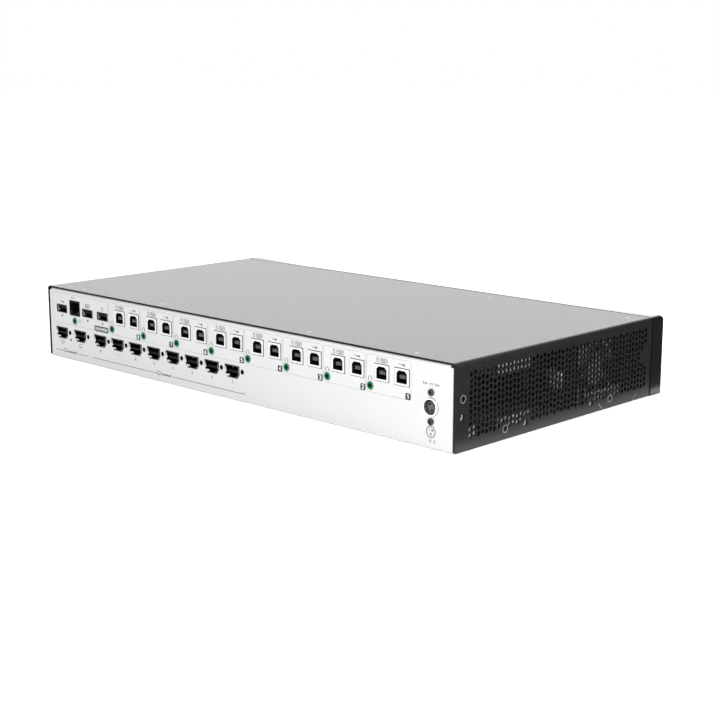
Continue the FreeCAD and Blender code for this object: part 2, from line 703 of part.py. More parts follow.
def base_tray():
    pieces = [tray_blank()]
    for side in (-1, 1):
        pieces += tray_side_tabs(side)
    tray = fuse_all(pieces)
    return tray.cut(rear_cut_outs() + front_cut_outs() + fixing_cut_outs())


# ================================================================ front fascia
def fascia_plan(inset, back_y):
    """Closed plan of the fascia: flat middle, hollow curves out to the end cheeks."""
    half = FASCIA_WIDTH / 2 - inset
    end_y = FASCIA_END_Y + inset
    middle_y = FASCIA_MIDDLE_Y + inset
    cheek_x = FASCIA_WIDTH / 2 - FASCIA_CHEEK
    radius = fascia_curve_radius()
    half_run = (cheek_x - FASCIA_FLAT_HALF) / 2
    bulge = radius - math.sqrt(radius * radius - half_run * half_run)

    def arc(side):
        return Part.Arc(V(side * FASCIA_FLAT_HALF, middle_y, 0),
                        V(side * (FASCIA_FLAT_HALF + half_run), middle_y - bulge, 0),
                        V(side * cheek_x, end_y, 0)).toShape()

    edges = [Part.makeLine(V(-half, back_y, 0), V(-half, end_y, 0)),
             Part.makeLine(V(-half, end_y, 0), V(-cheek_x, end_y, 0)),
             arc(-1),
             Part.makeLine(V(-FASCIA_FLAT_HALF, middle_y, 0), V(FASCIA_FLAT_HALF, middle_y, 0)),
             arc(1),
             Part.makeLine(V(cheek_x, end_y, 0), V(half, end_y, 0)),
             Part.makeLine(V(half, end_y, 0), V(half, back_y, 0)),
             Part.makeLine(V(half, back_y, 0), V(-half, back_y, 0))]
    return Part.Face(Part.Wire(edges))


def fascia_boss_places():
    return [(side * x, z) for x, z in FASCIA_BOSSES for side in (-1, 1)]


def fascia_curve_radius():
    """Radius of the hollow curve between the flat middle and an end cheek."""
    run = FASCIA_WIDTH / 2 - FASCIA_CHEEK - FASCIA_FLAT_HALF
    drop = FASCIA_MIDDLE_Y - FASCIA_END_Y
    return (run * run + drop * drop) / (2 * drop)


def fascia_face_y(x):
    """Front surface of the fascia at x, on the hollow curve."""
    radius = fascia_curve_radius()
    run = abs(x) - FASCIA_FLAT_HALF
    return FASCIA_MIDDLE_Y - (radius - math.sqrt(radius * radius - run * run))


def key_xs():
    return [key_x(channel) for channel in range(1, CHANNELS + 1)] + [OPTIONS_KEY_X]


def lens_xs():
    return [key_x(channel) for channel in range(1, CHANNELS + 1)]


def is_front_top_edge(edge):
    """True for the edges where the fascia's front meets its top."""
    box_of = edge.BoundBox
    on_top = box_of.ZMin > FASCIA_TOP - 1e-3
    off_back = box_of.YMax < FASCIA_BACK_Y - 1e-3
    return on_top and off_back


def is_end_upright(edge):
    """True for the upright edges at the fascia's outer front corners."""
    centre = edge.CenterOfMass
    upright = edge.BoundBox.ZLength > CASE_HEIGHT / 2
    return upright and abs(centre.x) > FASCIA_WIDTH / 2 - 1e-3 and centre.y < FASCIA_END_Y + 1e-3


def front_fascia():
    """Hollow moulded bezel with bosses for its screws."""
    outer = fascia_plan(0.0, FASCIA_BACK_Y)
    outer.translate(V(0, 0, FASCIA_BASE))
    body = outer.extrude(V(0, 0, FASCIA_TOP - FASCIA_BASE))
    body = body.makeFillet(FASCIA_END_ROUND, [e for e in body.Edges if is_end_upright(e)])
    body = body.makeFillet(FASCIA_TOP_ROUND, [e for e in body.Edges if is_front_top_edge(e)])
    hollow = fascia_plan(FASCIA_WALL, FASCIA_BACK_Y + 1)
    hollow.translate(V(0, 0, FASCIA_BASE + FASCIA_WALL))
    cavity = hollow.extrude(V(0, 0, FASCIA_TOP - FASCIA_BASE - 2 * FASCIA_WALL))
    body = body.cut(cavity)
    bosses = []
    bores = []
    for x, z in fascia_boss_places():
        boss_y = fascia_face_y(x) + FASCIA_WALL / 2
        bore_y = fascia_face_y(x) + FASCIA_WALL
        bosses.append(cylinder(FASCIA_BOSS_RADIUS, LID_FRONT_Y - boss_y, (x, boss_y, z), (0, 1, 0)))
        bores.append(cylinder(M3_THREAD, LID_FRONT_Y - bore_y, (x, bore_y, z), (0, 1, 0)))
    body = fuse_all([body] + bosses)
    tools = bores
    for x in key_xs():
        centre = (x, FASCIA_MIDDLE_Y - 1, KEY_ROW_Z)
        tools.append(rounded_prism(KEY_WIDTH + 2 * KEY_GAP, KEY_HEIGHT + 2 * KEY_GAP,
                                   KEY_CORNER + KEY_GAP, FASCIA_WALL + 2, centre, "y"))
    for x in lens_xs():
        tools.append(cylinder(LENS_RADIUS, FASCIA_WALL + 2, (x, FASCIA_MIDDLE_Y - 1, LENS_Z), (0, 1, 0)))
    return body.cut(tools)


def fascia_screws():
    """Screws from inside the tray into the fascia's bosses."""
    seat_y = LID_FRONT_Y + TRAY_SHEET
    screws = []
    for x, z in fascia_boss_places():
        length = seat_y - fascia_face_y(x) - FASCIA_WALL - 0.5
        screws.append(pan_screw((x, seat_y, z), (0, -1, 0), length,
                                PAN_HEAD_RADIUS, PAN_HEAD_HEIGHT, M3_THREAD))
    return screws


def indicator_lenses():
    """Light pipes from the fascia's face back to the lamps on the key board."""
    lenses = []
    for x in lens_xs():
        length = KEY_BOARD_FRONT_Y - LED_SIZE[1] - LENS_LAMP_GAP - FASCIA_MIDDLE_Y
        pipe = cylinder(LENS_RADIUS - FIT, length, (x, FASCIA_MIDDLE_Y, LENS_Z), (0, 1, 0))
        collar_y = FASCIA_MIDDLE_Y + FASCIA_WALL
        collar = cylinder(LENS_RADIUS + 0.7, 0.8, (x, collar_y, LENS_Z), (0, 1, 0))
        lenses.append(fuse_all([pipe, collar]))
    return lenses


def switch_stub_y():
    """Front end of a switch's stub."""
    return KEY_BOARD_FRONT_Y - SWITCH_BODY - SWITCH_STUB


def key(x):
    """Key cap, its lip behind the fascia wall, and the stem to its switch."""
    cap_length = KEY_PROUD + FASCIA_WALL + KEY_LIP_THICKNESS
    cap = rounded_prism(KEY_WIDTH, KEY_HEIGHT, KEY_CORNER, cap_length,
                        (x, FASCIA_MIDDLE_Y - KEY_PROUD, KEY_ROW_Z), "y")
    face_edges = [e for e in cap.Edges if e.BoundBox.YMax < FASCIA_MIDDLE_Y - KEY_PROUD + 1e-3]
    cap = cap.makeFillet(0.5, face_edges)
    lip_y = FASCIA_MIDDLE_Y + FASCIA_WALL
    lip = rounded_prism(KEY_WIDTH + 2 * KEY_LIP, KEY_HEIGHT + 2 * KEY_LIP, KEY_CORNER,
                        KEY_LIP_THICKNESS, (x, lip_y, KEY_ROW_Z), "y")
    stem_start = lip_y + KEY_LIP_THICKNESS / 2
    stem_end = switch_stub_y() - KEY_TRAVEL - SWITCH_REST_GAP
    stem = cylinder(KEY_STEM_RADIUS, stem_end - stem_start, (x, stem_start, KEY_ROW_Z), (0, 1, 0))
    return fuse_all([cap, lip, stem])


def key_switches():
    switches = []
    half = SWITCH_SIZE / 2
    for x in key_xs():
        body = box((x - half, KEY_BOARD_FRONT_Y - SWITCH_BODY, KEY_ROW_Z - half),
                   (x + half, KEY_BOARD_FRONT_Y, KEY_ROW_Z + half))
        stub = cylinder(SWITCH_STUB_RADIUS, SWITCH_STUB, (x, switch_stub_y(), KEY_ROW_Z), (0, 1, 0))
        switches.append(fuse_all([body, stub]))
    return switches


def indicator_leds():
    width, depth, height = LED_SIZE
    leds = []
    for x in lens_xs():
        leds.append(box((x - width / 2, KEY_BOARD_FRONT_Y - depth, LENS_Z - height / 2),
                        (x + width / 2, KEY_BOARD_FRONT_Y, LENS_Z + height / 2)))
    return leds


def key_board():
    """Upright board behind the front upstand, standing on the tray by three feet."""
    board = box((-KEY_BOARD_HALF, KEY_BOARD_FRONT_Y, KEY_BOARD_BASE),
                (KEY_BOARD_HALF, KEY_BOARD_FRONT_Y + BOARD, KEY_BOARD_TOP))
    feet = []
    half = KEY_BOARD_FOOT / 2
    outer = KEY_BOARD_HALF - KEY_BOARD_FOOT
    for x in (-outer, 0.0, outer):
        feet.append(box((x - half, KEY_BOARD_FRONT_Y, TRAY_SHEET),
                        (x + half, KEY_BOARD_FRONT_Y + BOARD, KEY_BOARD_BASE)))
    return fuse_all([board] + feet)


def key_board_ribbon():
    """Flat cable that runs level from the key board and turns down into its header."""
    header_top = LOWER_BOARD_TOP + HEADER_HEIGHT
    x = RIBBON_X - RIBBON_WIDTH / 2
    start_y = KEY_BOARD_FRONT_Y + BOARD
    outer_r, inner_r = RIBBON_BEND + RIBBON_THICKNESS, RIBBON_BEND
    centre = V(x, ribbon_header_y() - inner_r, RIBBON_TOP_Z - outer_r)
    diag = math.sqrt(0.5)
    outer_top = V(x, centre.y, centre.z + outer_r)
    inner_top = V(x, centre.y, centre.z + inner_r)
    outer_side = V(x, centre.y + outer_r, centre.z)
    inner_side = V(x, centre.y + inner_r, centre.z)
    drop = V(0, 0, header_top - centre.z)
    edges = [Part.makeLine(V(x, start_y, outer_top.z), outer_top),
             Part.Arc(outer_top, centre + V(0, diag * outer_r, diag * outer_r), outer_side).toShape(),
             Part.makeLine(outer_side, outer_side + drop),
             Part.makeLine(outer_side + drop, inner_side + drop),
             Part.makeLine(inner_side + drop, inner_side),
             Part.Arc(inner_side, centre + V(0, diag * inner_r, diag * inner_r), inner_top).toShape(),
             Part.makeLine(inner_top, V(x, start_y, inner_top.z)),
             Part.makeLine(V(x, start_y, inner_top.z), V(x, start_y, outer_top.z))]
    return Part.Face(Part.Wire(edges)).extrude(V(RIBBON_WIDTH, 0, 0))


def ribbon_header_y():
    return BOARD_REAR_Y - LOWER_BOARD_DEPTH + RIBBON_HEADER_INSET


# ================================================================ circuit boards and pillars
def pillar_places(front_setback):
    """Pillar positions under a board, as (x, y)."""
    rows = (REAR_Y - REAR_PILLAR_SETBACK, REAR_Y - front_setback)
    return [(x, y) for x in PILLAR_XS for y in rows]


def board(top, right_x, depth, front_setback, hole_radius):
    plate = box((right_x, BOARD_REAR_Y - depth, top - BOARD), (BOARD_LEFT_X, BOARD_REAR_Y, top))
    places = pillar_places(front_setback)
    return plate.cut([cylinder(hole_radius, BOARD, (x, y, top - BOARD), (0, 0, 1)) for x, y in places])


def lower_board():
    plate = board(LOWER_BOARD_TOP, LOWER_BOARD_RIGHT_X, LOWER_BOARD_DEPTH,
                  LOWER_FRONT_PILLAR_SETBACK, M3_RADIUS + FIT)
    notch = box((LOWER_BOARD_RIGHT_X - 1, INLET_NOTCH_Y, LOWER_BOARD_TOP - BOARD - 1),
                (INLET_NOTCH_X, BOARD_REAR_Y + 1, LOWER_BOARD_TOP + 1))
    return plate.cut(notch)


def upper_board():
    return board(UPPER_BOARD_TOP, UPPER_BOARD_RIGHT_X, UPPER_BOARD_DEPTH,
                 UPPER_FRONT_PILLAR_SETBACK, M3_RADIUS + FIT)


def hex_pillar(x, y, low, high):
    """Six-sided threaded pillar with a blind bore at its top."""
    across = PILLAR_RADIUS / math.cos(math.pi / 6)
    corners = [V(x + across * math.cos(math.pi / 3 * k), y + across * math.sin(math.pi / 3 * k), low)
               for k in range(6)]
    prism = Part.Face(Part.makePolygon(corners + corners[:1])).extrude(V(0, 0, high - low))
    bore_base = (x, y, high - PILLAR_BORE_DEPTH)
    return prism.cut(cylinder(M3_RADIUS, PILLAR_BORE_DEPTH, bore_base, (0, 0, 1)))


def lower_pillars():
    high = LOWER_BOARD_TOP - BOARD
    return [hex_pillar(x, y, TRAY_SHEET, high) for x, y in pillar_places(LOWER_FRONT_PILLAR_SETBACK)]


def upper_pillars():
    """Pillars between the boards, standing clear of the lower board's own screws."""
    high = UPPER_BOARD_TOP - BOARD
    places = pillar_places(UPPER_FRONT_PILLAR_SETBACK)
    pillars = []
    for x, y in places:
        pillar = hex_pillar(x, y, LOWER_BOARD_TOP, high)
        stud = cylinder(M3_RADIUS, PILLAR_STUD, (x, y, LOWER_BOARD_TOP - PILLAR_STUD), (0, 0, 1))
        on_screw = (x, y) in pillar_places(LOWER_FRONT_PILLAR_SETBACK)
        pillars.append(fuse_all([pillar, stud]) if on_screw else pillar)
    return pillars


def board_screws():
    """Pan-head screws that hold each board on its pillars."""
    screws = []
    for x, y in pillar_places(UPPER_FRONT_PILLAR_SETBACK):
        screws.append(pan_screw((x, y, UPPER_BOARD_TOP), (0, 0, -1), BOARD_SCREW_LENGTH,
                                PAN_HEAD_RADIUS, PAN_HEAD_HEIGHT, M3_RADIUS))
    front_y = REAR_Y - LOWER_FRONT_PILLAR_SETBACK
    for x in PILLAR_XS:
        screws.append(pan_screw((x, front_y, LOWER_BOARD_TOP), (0, 0, -1), BOARD_SCREW_LENGTH,
                                PAN_HEAD_RADIUS, PAN_HEAD_HEIGHT, M3_RADIUS))
    return screws


# ================================================================ rear sockets
SOCKET_FACE_Y = PANEL_Y + SOCKET_PROUD


def usb_b_mouth(x):
    """Opening of a USB-B socket, with its two upper corners cut off."""
    half_w = USB_B_MOUTH_WIDTH / 2
    middle = UPPER_BOARD_TOP + USB_B_HEIGHT / 2
    low, high = middle - USB_B_MOUTH_HEIGHT / 2, middle + USB_B_MOUTH_HEIGHT / 2
    cut = USB_B_MOUTH_CHAMFER
    return ((x - half_w, low), (x + half_w, low), (x + half_w, high - cut),
            (x + half_w - cut, high), (x - half_w + cut, high), (x - half_w, high - cut))


def usb_b_sockets(channel):
    """Metal shells of one channel's two USB-B sockets."""
    shells = []
    for x in usb_b_xs(channel):
        shell = rounded_prism(USB_B_WIDTH, USB_B_HEIGHT, 0.4, USB_B_LENGTH,
                              (x, SOCKET_FACE_Y - USB_B_LENGTH, UPPER_BOARD_TOP + USB_B_HEIGHT / 2), "y")
        mouth = prism_along_y(usb_b_mouth(x), SOCKET_FACE_Y - USB_B_MOUTH_DEPTH, SOCKET_FACE_Y + 1)
        shells.append(shell.cut(mouth))
    return shells


def usb_b_tongues():
    width, height = USB_B_TONGUE
    back = SOCKET_FACE_Y - USB_B_MOUTH_DEPTH
    middle = UPPER_BOARD_TOP + USB_B_HEIGHT / 2
    tongues = []
    for channel in range(1, CHANNELS + 1):
        for x in usb_b_xs(channel):
            tongues.append(box((x - width / 2, back, middle - height / 2),
                               (x + width / 2, SOCKET_FACE_Y - USB_B_TONGUE_SETBACK, middle + height / 2)))
    return tongues


def usb_a_socket(x):
    """Thin metal shell with two legs that stand on the upper board."""
    start = SOCKET_FACE_Y - USB_A_LENGTH
    shell = rounded_prism(USB_A_WIDTH, USB_A_HEIGHT, 0.6, USB_A_LENGTH, (x, start, USB_A_Z), "y")
    mouth = rounded_prism(USB_A_WIDTH - 2 * USB_A_SKIN, USB_A_HEIGHT - 2 * USB_A_SKIN, 0.3,
                          USB_A_MOUTH_DEPTH + 1, (x, SOCKET_FACE_Y - USB_A_MOUTH_DEPTH, USB_A_Z), "y")
    legs = []
    for side in (-1, 1):
        leg_x = x + side * (USB_A_WIDTH / 2 - USB_A_LEG)
        legs.append(box((leg_x - USB_A_LEG / 2, start + 2, UPPER_BOARD_TOP),
                        (leg_x + USB_A_LEG / 2, start + 10, USB_A_Z - USB_A_HEIGHT / 2 + 0.2)))
    return fuse_all([shell.cut(mouth)] + legs)


def usb_a_tongues():
    """Contact tongues in the upper half of the USB-A sockets."""
    width, height = USB_A_TONGUE
    top = USB_A_Z + USB_A_HEIGHT / 2 - USB_A_SKIN - 0.7
    back = SOCKET_FACE_Y - USB_A_MOUTH_DEPTH
    return [box((x - width / 2, back, top - height), (x + width / 2, SOCKET_FACE_Y - 1.0, top))
            for x in USB_A_XS]


def options_socket():
    """Eight-way modular socket with a stepped latch slot under its mouth."""
    middle = UPPER_BOARD_TOP + OPTIONS_HEIGHT / 2
    start = SOCKET_FACE_Y - OPTIONS_LENGTH
    body = rounded_prism(OPTIONS_WIDTH, OPTIONS_HEIGHT, 0.4, OPTIONS_LENGTH, (OPTIONS_X, start, middle), "y")
    mouth_top = UPPER_BOARD_TOP + OPTIONS_HEIGHT - 1.2
    mouth_low = mouth_top - OPTIONS_MOUTH_HEIGHT
    back = SOCKET_FACE_Y - OPTIONS_MOUTH_DEPTH
    mouth = box((OPTIONS_X - OPTIONS_MOUTH_WIDTH / 2, back, mouth_low),
                (OPTIONS_X + OPTIONS_MOUTH_WIDTH / 2, SOCKET_FACE_Y + 1, mouth_top))
    latch = box((OPTIONS_X - OPTIONS_LATCH_WIDTH / 2, back, mouth_low - OPTIONS_LATCH_HEIGHT),
                (OPTIONS_X + OPTIONS_LATCH_WIDTH / 2, SOCKET_FACE_Y + 1, mouth_low))
    return body.cut([mouth, latch])


def audio_jacks():
    """3.5 mm jacks that hang under the upper board with their noses in the panel."""
    board_under = UPPER_BOARD_TOP - BOARD
    jacks = []
    for x in jack_xs():
        body_end = PANEL_INNER_Y - 0.1
        body = box((x - JACK_BODY_WIDTH / 2, body_end - JACK_BODY_LENGTH, 2 * JACK_Z - board_under),
                   (x + JACK_BODY_WIDTH / 2, body_end, board_under))
        nose = cylinder(JACK_NOSE_RADIUS, SOCKET_FACE_Y - body_end, (x, body_end, JACK_Z), (0, 1, 0))
        bore = cylinder(JACK_BORE_RADIUS, JACK_BORE_DEPTH, (x, SOCKET_FACE_Y, JACK_Z), (0, -1, 0))
        jacks.append(fuse_all([body, nose]).cut(bore))
    return jacks


def video_socket(x):
    shell = prism_along_y(video_outline(x, 0.0), SOCKET_FACE_Y - VIDEO_LENGTH, SOCKET_FACE_Y)
    mouth = prism_along_y(video_outline(x, -VIDEO_SKIN), SOCKET_FACE_Y - VIDEO_MOUTH_DEPTH,
                          SOCKET_FACE_Y + 1)
    return shell.cut(mouth)


def video_tongues():
    width, height = VIDEO_TONGUE
    middle = VIDEO_BASE + VIDEO_HEIGHT / 2
    back = SOCKET_FACE_Y - VIDEO_MOUTH_DEPTH
    return [box((x - width / 2, back, middle - height / 2),
                (x + width / 2, SOCKET_FACE_Y - 1.2, middle + height / 2)) for x in video_xs()]


def video_lock_nuts():
    """Closed threaded nuts behind the panel for the screws of locking video plugs."""
    nuts = []
    for x in video_xs():
        centre = (x + LOCK_OFFSET, PANEL_INNER_Y, LOCK_Z)
        body = cylinder(LOCK_NUT_RADIUS, LOCK_NUT_LENGTH, centre, (0, -1, 0))
        nuts.append(body.cut(cylinder(LOCK_THREAD_RADIUS, LOCK_THREAD_DEPTH, centre, (0, -1, 0))))
    return nuts


# ================================================================ power inlet
def power_inlet_shell():
    """Ring that stands proud of the panel, on a flange fixed behind it."""
    ring_front = PANEL_Y + INLET_PROUD
    flange_width, flange_thickness = INLET_FLANGE
    flange_height = 2 * (INLET_SCREW_OFFSET + INLET_FLANGE_MARGIN)
    flange_back = PANEL_INNER_Y - flange_thickness
    ring = cylinder(INLET_RING_RADIUS, ring_front - flange_back, (INLET_X, flange_back, INLET_Z), (0, 1, 0))
    outer_rim = [e for e in ring.Edges if e.BoundBox.YMin > ring_front - 1e-3]
    ring = ring.makeFillet(0.35, outer_rim)
    flange = rounded_prism(flange_width, flange_height, 2.0, flange_thickness,
                           (INLET_X, flange_back, INLET_Z), "y")
    barrel_back = inlet_barrel_back()
    barrel = cylinder(INLET_RING_RADIUS, INLET_BODY_LENGTH, (INLET_X, barrel_back, INLET_Z), (0, 1, 0))
    body = fuse_all([ring, flange, barrel])
    bore = cylinder(INLET_BORE_RADIUS, ring_front - barrel_back, (INLET_X, barrel_back, INLET_Z), (0, 1, 0))
    holes = [cylinder(M3_THREAD, flange_thickness,
                      (INLET_X, flange_back, INLET_Z + side * INLET_SCREW_OFFSET), (0, 1, 0))
             for side in (-1, 1)]
    return body.cut([bore] + holes)


def inlet_barrel_back():
    return PANEL_INNER_Y - INLET_FLANGE[1] - INLET_BODY_LENGTH


def inlet_pin_places():
    """Three pins: two above, one below."""
    places = []
    for degrees in (40.0, 140.0, 270.0):
        angle = math.radians(degrees)
        places.append((INLET_X + INLET_PIN_CIRCLE * math.cos(angle),
                       INLET_Z + INLET_PIN_CIRCLE * math.sin(angle)))
    return places


def power_inlet_insulator():
    """Moulded plug with a narrower nose, three pin holes and a key slot."""
    face_y = PANEL_Y + INLET_PROUD - INLET_FACE_RECESS
    back_y = inlet_barrel_back()
    base = (INLET_X, back_y, INLET_Z)
    nose = cylinder(INLET_NOSE_RADIUS, face_y - back_y, base, (0, 1, 0))
    plug = cylinder(INLET_INSULATOR_RADIUS, face_y - INLET_NOSE_LENGTH - back_y, base, (0, 1, 0))
    tools = [cylinder(INLET_PIN_HOLE, face_y - back_y, (x, back_y, z), (0, 1, 0))
             for x, z in inlet_pin_places()]
    slot_width, slot_height, slot_length = INLET_KEY_SLOT
    slot_top = INLET_Z + INLET_NOSE_RADIUS
    key_slot = box((INLET_X - slot_width / 2, face_y - slot_length, slot_top - slot_height),
                   (INLET_X + slot_width / 2, face_y + 1, slot_top))
    return fuse_all([plug, nose]).cut(tools + [key_slot])


def power_inlet_pins():
    """Contacts that reach from inside the insulator to the solder ends behind it."""
    front_y = PANEL_Y + INLET_PROUD - INLET_FACE_RECESS - INLET_PIN_SETBACK
    back_y = inlet_barrel_back() - INLET_PIN_TAIL
    return [cylinder(INLET_PIN_RADIUS, front_y - back_y, (x, back_y, z), (0, 1, 0))
            for x, z in inlet_pin_places()]


def inlet_screws():
    return [pan_screw((INLET_X, PANEL_Y, INLET_Z + side * INLET_SCREW_OFFSET), (0, -1, 0), INLET_SCREW_LENGTH,
                      INLET_HEAD_RADIUS, INLET_HEAD_HEIGHT, M3_THREAD - 0.05)
            for side in (-1, 1)]


# ================================================================ leads
def lead(points, bend, radius):
    """Round lead along straight runs joined by tangent arcs."""
    points = [V(*p) for p in points]
    edges = []
    here = points[0]
    for before, corner, after in zip(points, points[1:], points[2:]):
        incoming = (corner - before).normalize()
        outgoing = (after - corner).normalize()
        turn = incoming.getAngle(outgoing)
        reach = bend * math.tan(turn / 2)
        start = corner - incoming * reach
        end = corner + outgoing * reach
        towards = (outgoing - incoming).normalize()
        middle = corner + towards * (bend / math.cos(turn / 2) - bend)
        edges += [Part.makeLine(here, start), Part.Arc(start, middle, end).toShape()]
        here = end
    edges.append(Part.makeLine(here, points[-1]))
    profile = Part.Wire(Part.Circle(points[0], points[1] - points[0], radius).toShape())
    return Part.Wire(edges).makePipeShell([profile], True, False)


def power_leads():
    """Three wires from the inlet's pins and two from the fan, each to its header."""
    pin_back = inlet_barrel_back() - INLET_PIN_TAIL
    header_face = LOWER_BOARD_TOP + HEADER_HEIGHT
    leads = []
    for x, z in inlet_pin_places():
        rank = (x - INLET_X) / INLET_PIN_CIRCLE
        drop_x = INLET_HEADER_X + INLET_WIRE_STEP[0] * rank
        turn_y = INLET_HEADER_Y + INLET_WIRE_STEP[1] * rank
        leads.append(lead([(x, pin_back, z), (x, turn_y, z), (drop_x, turn_y, z),
                           (drop_x, turn_y, header_face)], WIRE_BEND, WIRE_RADIUS))
    for side in (-1, 1):
        y = FAN_HEADER_Y + side * FAN_WIRE_SPACING / 2
        leads.append(lead([(FAN_INNER_X + BRACKET_SHEET, y, FAN_WIRE_Z), (FAN_HEADER_X, y, FAN_WIRE_Z),
                           (FAN_HEADER_X, y, header_face)], FAN_WIRE_BEND, WIRE_RADIUS))
    return leads


def board_headers():
    """Plug housings that the leads and the ribbon enter."""
    low, high = LOWER_BOARD_TOP, LOWER_BOARD_TOP + HEADER_HEIGHT
    places = ((INLET_HEADER_X, INLET_HEADER_Y, 6.0, 5.0),
              (FAN_HEADER_X, FAN_HEADER_Y, 3.0, 4.0),
              (RIBBON_X, ribbon_header_y(), RIBBON_WIDTH / 2 + 2.0, 3.0))
    return [box((x - half_x, y - half_y, low), (x + half_x, y + half_y, high))
            for x, y, half_x, half_y in places]


# ================================================================ board components
def heat_sink(x, y):
    """Finned block over a switching chip."""
    half = HEAT_SINK_SIZE / 2
    base_z = LOWER_BOARD_TOP + CHIP_HEIGHT
    base = box((x - half, y - half, base_z), (x + half, y + half, base_z + HEAT_SINK_BASE))
    pitch = (HEAT_SINK_SIZE - HEAT_SINK_FIN) / (HEAT_SINK_FINS - 1)
    fins = []
    for index in range(HEAT_SINK_FINS):
        fin_x = x - half + index * pitch
        fins.append(box((fin_x, y - half, base_z + HEAT_SINK_BASE / 2),
                        (fin_x + HEAT_SINK_FIN, y + half, base_z + HEAT_SINK_HEIGHT)))
    return fuse_all([base] + fins)


def heat_sinks():
    return [heat_sink(x, y) for x, y in HEAT_SINK_PLACES]


def board_chips():
    """Square packages under the heat sinks, and smaller ones along the boards."""
    chips = []
    for x, y in HEAT_SINK_PLACES:
        chips.append(chip(x, y, LOWER_BOARD_TOP, SWITCHING_CHIP))
    for channel in range(1, CHANNELS + 1):
        x = channel_x(channel)
        chips.append(chip(x, UPPER_CHIP[1], UPPER_BOARD_TOP, UPPER_CHIP[0]))
        chips.append(chip(x + LOWER_CHIP_OFFSET, LOWER_CHIP[1], LOWER_BOARD_TOP, LOWER_CHIP[0]))
    return chips


def chip(x, y, z, size):
    half = size / 2
    return box((x - half, y - half, z), (x + half, y + half, z + CHIP_HEIGHT))


def capacitors():
    """Upright cans with a rolled groove near the foot: four tall and one wide."""
    cans = [can(x, y, CAN_RADIUS, CAN_HEIGHT) for x, y in CAN_PLACES]
    return cans + [can(*WIDE_CAN_PLACE, WIDE_CAN_RADIUS, WIDE_CAN_HEIGHT)]


def can(x, y, radius, height):
    body = cylinder(radius, height, (x, y, LOWER_BOARD_TOP), (0, 0, 1))
    top = [e for e in body.Edges if e.BoundBox.ZMin > LOWER_BOARD_TOP + height - 1e-3]
    body = body.makeFillet(0.8, top)
    groove_radius, groove_height = CAN_GROOVE
    return body.cut(Part.makeTorus(radius + 0.3, groove_radius, V(x, y, LOWER_BOARD_TOP + groove_height)))


# ================================================================ fan
def fan_hole_places():
    half = FAN_HOLE_SPACING / 2
    return [(FAN_Y + sy * half, FAN_Z + sz * half) for sy in (-1, 1) for sz in (-1, 1)]


def fan_frame():
    """Square duct with a stator cup carried on four spokes at its inner face."""
    centre = (FAN_OUTER_X, FAN_Y, FAN_Z)
    frame = rounded_prism(FAN_SIZE, FAN_SIZE, FAN_CORNER, FAN_THICKNESS, centre, "x")
    frame = frame.cut(cylinder(FAN_BORE, FAN_THICKNESS, centre, (1, 0, 0)))
    spoke_width, spoke_depth = FAN_SPOKE
    spoke_x = FAN_INNER_X - spoke_depth
    spokes = []
    for turn in range(4):
        spoke = box((spoke_x, FAN_Y - spoke_width / 2, FAN_Z + FAN_STATOR_RADIUS - 0.5),
                    (FAN_INNER_X, FAN_Y + spoke_width / 2, FAN_Z + FAN_BORE + 0.5))
        spoke.rotate(V(*centre), V(1, 0, 0), 45.0 + 90.0 * turn)
        spokes.append(spoke)
    disc = cylinder(FAN_HUB_RADIUS, spoke_depth, (spoke_x, FAN_Y, FAN_Z), (1, 0, 0))
    stator_start = FAN_OUTER_X + FAN_HUB_WALL + FAN_STATOR_GAP
    stator = cylinder(FAN_STATOR_RADIUS, spoke_x - stator_start, (stator_start, FAN_Y, FAN_Z), (1, 0, 0))
    bearing = cylinder(FAN_SHAFT_RADIUS + FAN_SHAFT_CLEARANCE, FAN_THICKNESS - spoke_depth,
                       (FAN_OUTER_X, FAN_Y, FAN_Z), (1, 0, 0))
    body = fuse_all([frame, disc, stator] + spokes)
    holes = [cylinder(M3_RADIUS + 0.2, FAN_THICKNESS, (FAN_OUTER_X, y, z), (1, 0, 0))
             for y, z in fan_hole_places()]
    return body.cut([bearing] + holes)


def fan_rotor():
    """Hub cup, shaft and pitched blades."""
    start_x = FAN_OUTER_X + FAN_ROTOR_START
    hub_length = FAN_HUB_LENGTH
    hub = cylinder(FAN_HUB_RADIUS, hub_length, (start_x, FAN_Y, FAN_Z), (1, 0, 0))
    cup = cylinder(FAN_HUB_RADIUS - FAN_HUB_WALL, hub_length, (start_x + FAN_HUB_WALL, FAN_Y, FAN_Z), (1, 0, 0))
    hub = hub.cut(cup)
    shaft = cylinder(FAN_SHAFT_RADIUS, hub_length, (start_x + FAN_HUB_WALL / 2, FAN_Y, FAN_Z), (1, 0, 0))
    blades = []
    blade_depth, blade_thickness = FAN_BLADE
    middle_x = start_x + hub_length / 2
    tip_limit = cylinder(FAN_BLADE_TIP, FAN_THICKNESS, (FAN_OUTER_X, FAN_Y, FAN_Z), (1, 0, 0))
    for index in range(FAN_BLADES):
        blade = box((middle_x - blade_depth / 2, FAN_Y - blade_thickness / 2, FAN_Z + FAN_HUB_RADIUS - 0.6),
                    (middle_x + blade_depth / 2, FAN_Y + blade_thickness / 2, FAN_Z + FAN_BLADE_TIP + 1))
        blade.rotate(V(middle_x, FAN_Y, FAN_Z), V(0, 0, 1), FAN_BLADE_PITCH)
        blade.rotate(V(middle_x, FAN_Y, FAN_Z), V(1, 0, 0), 360.0 / FAN_BLADES * index)
        blades.append(blade.common(tip_limit))
    return fuse_all([hub, shaft] + blades)


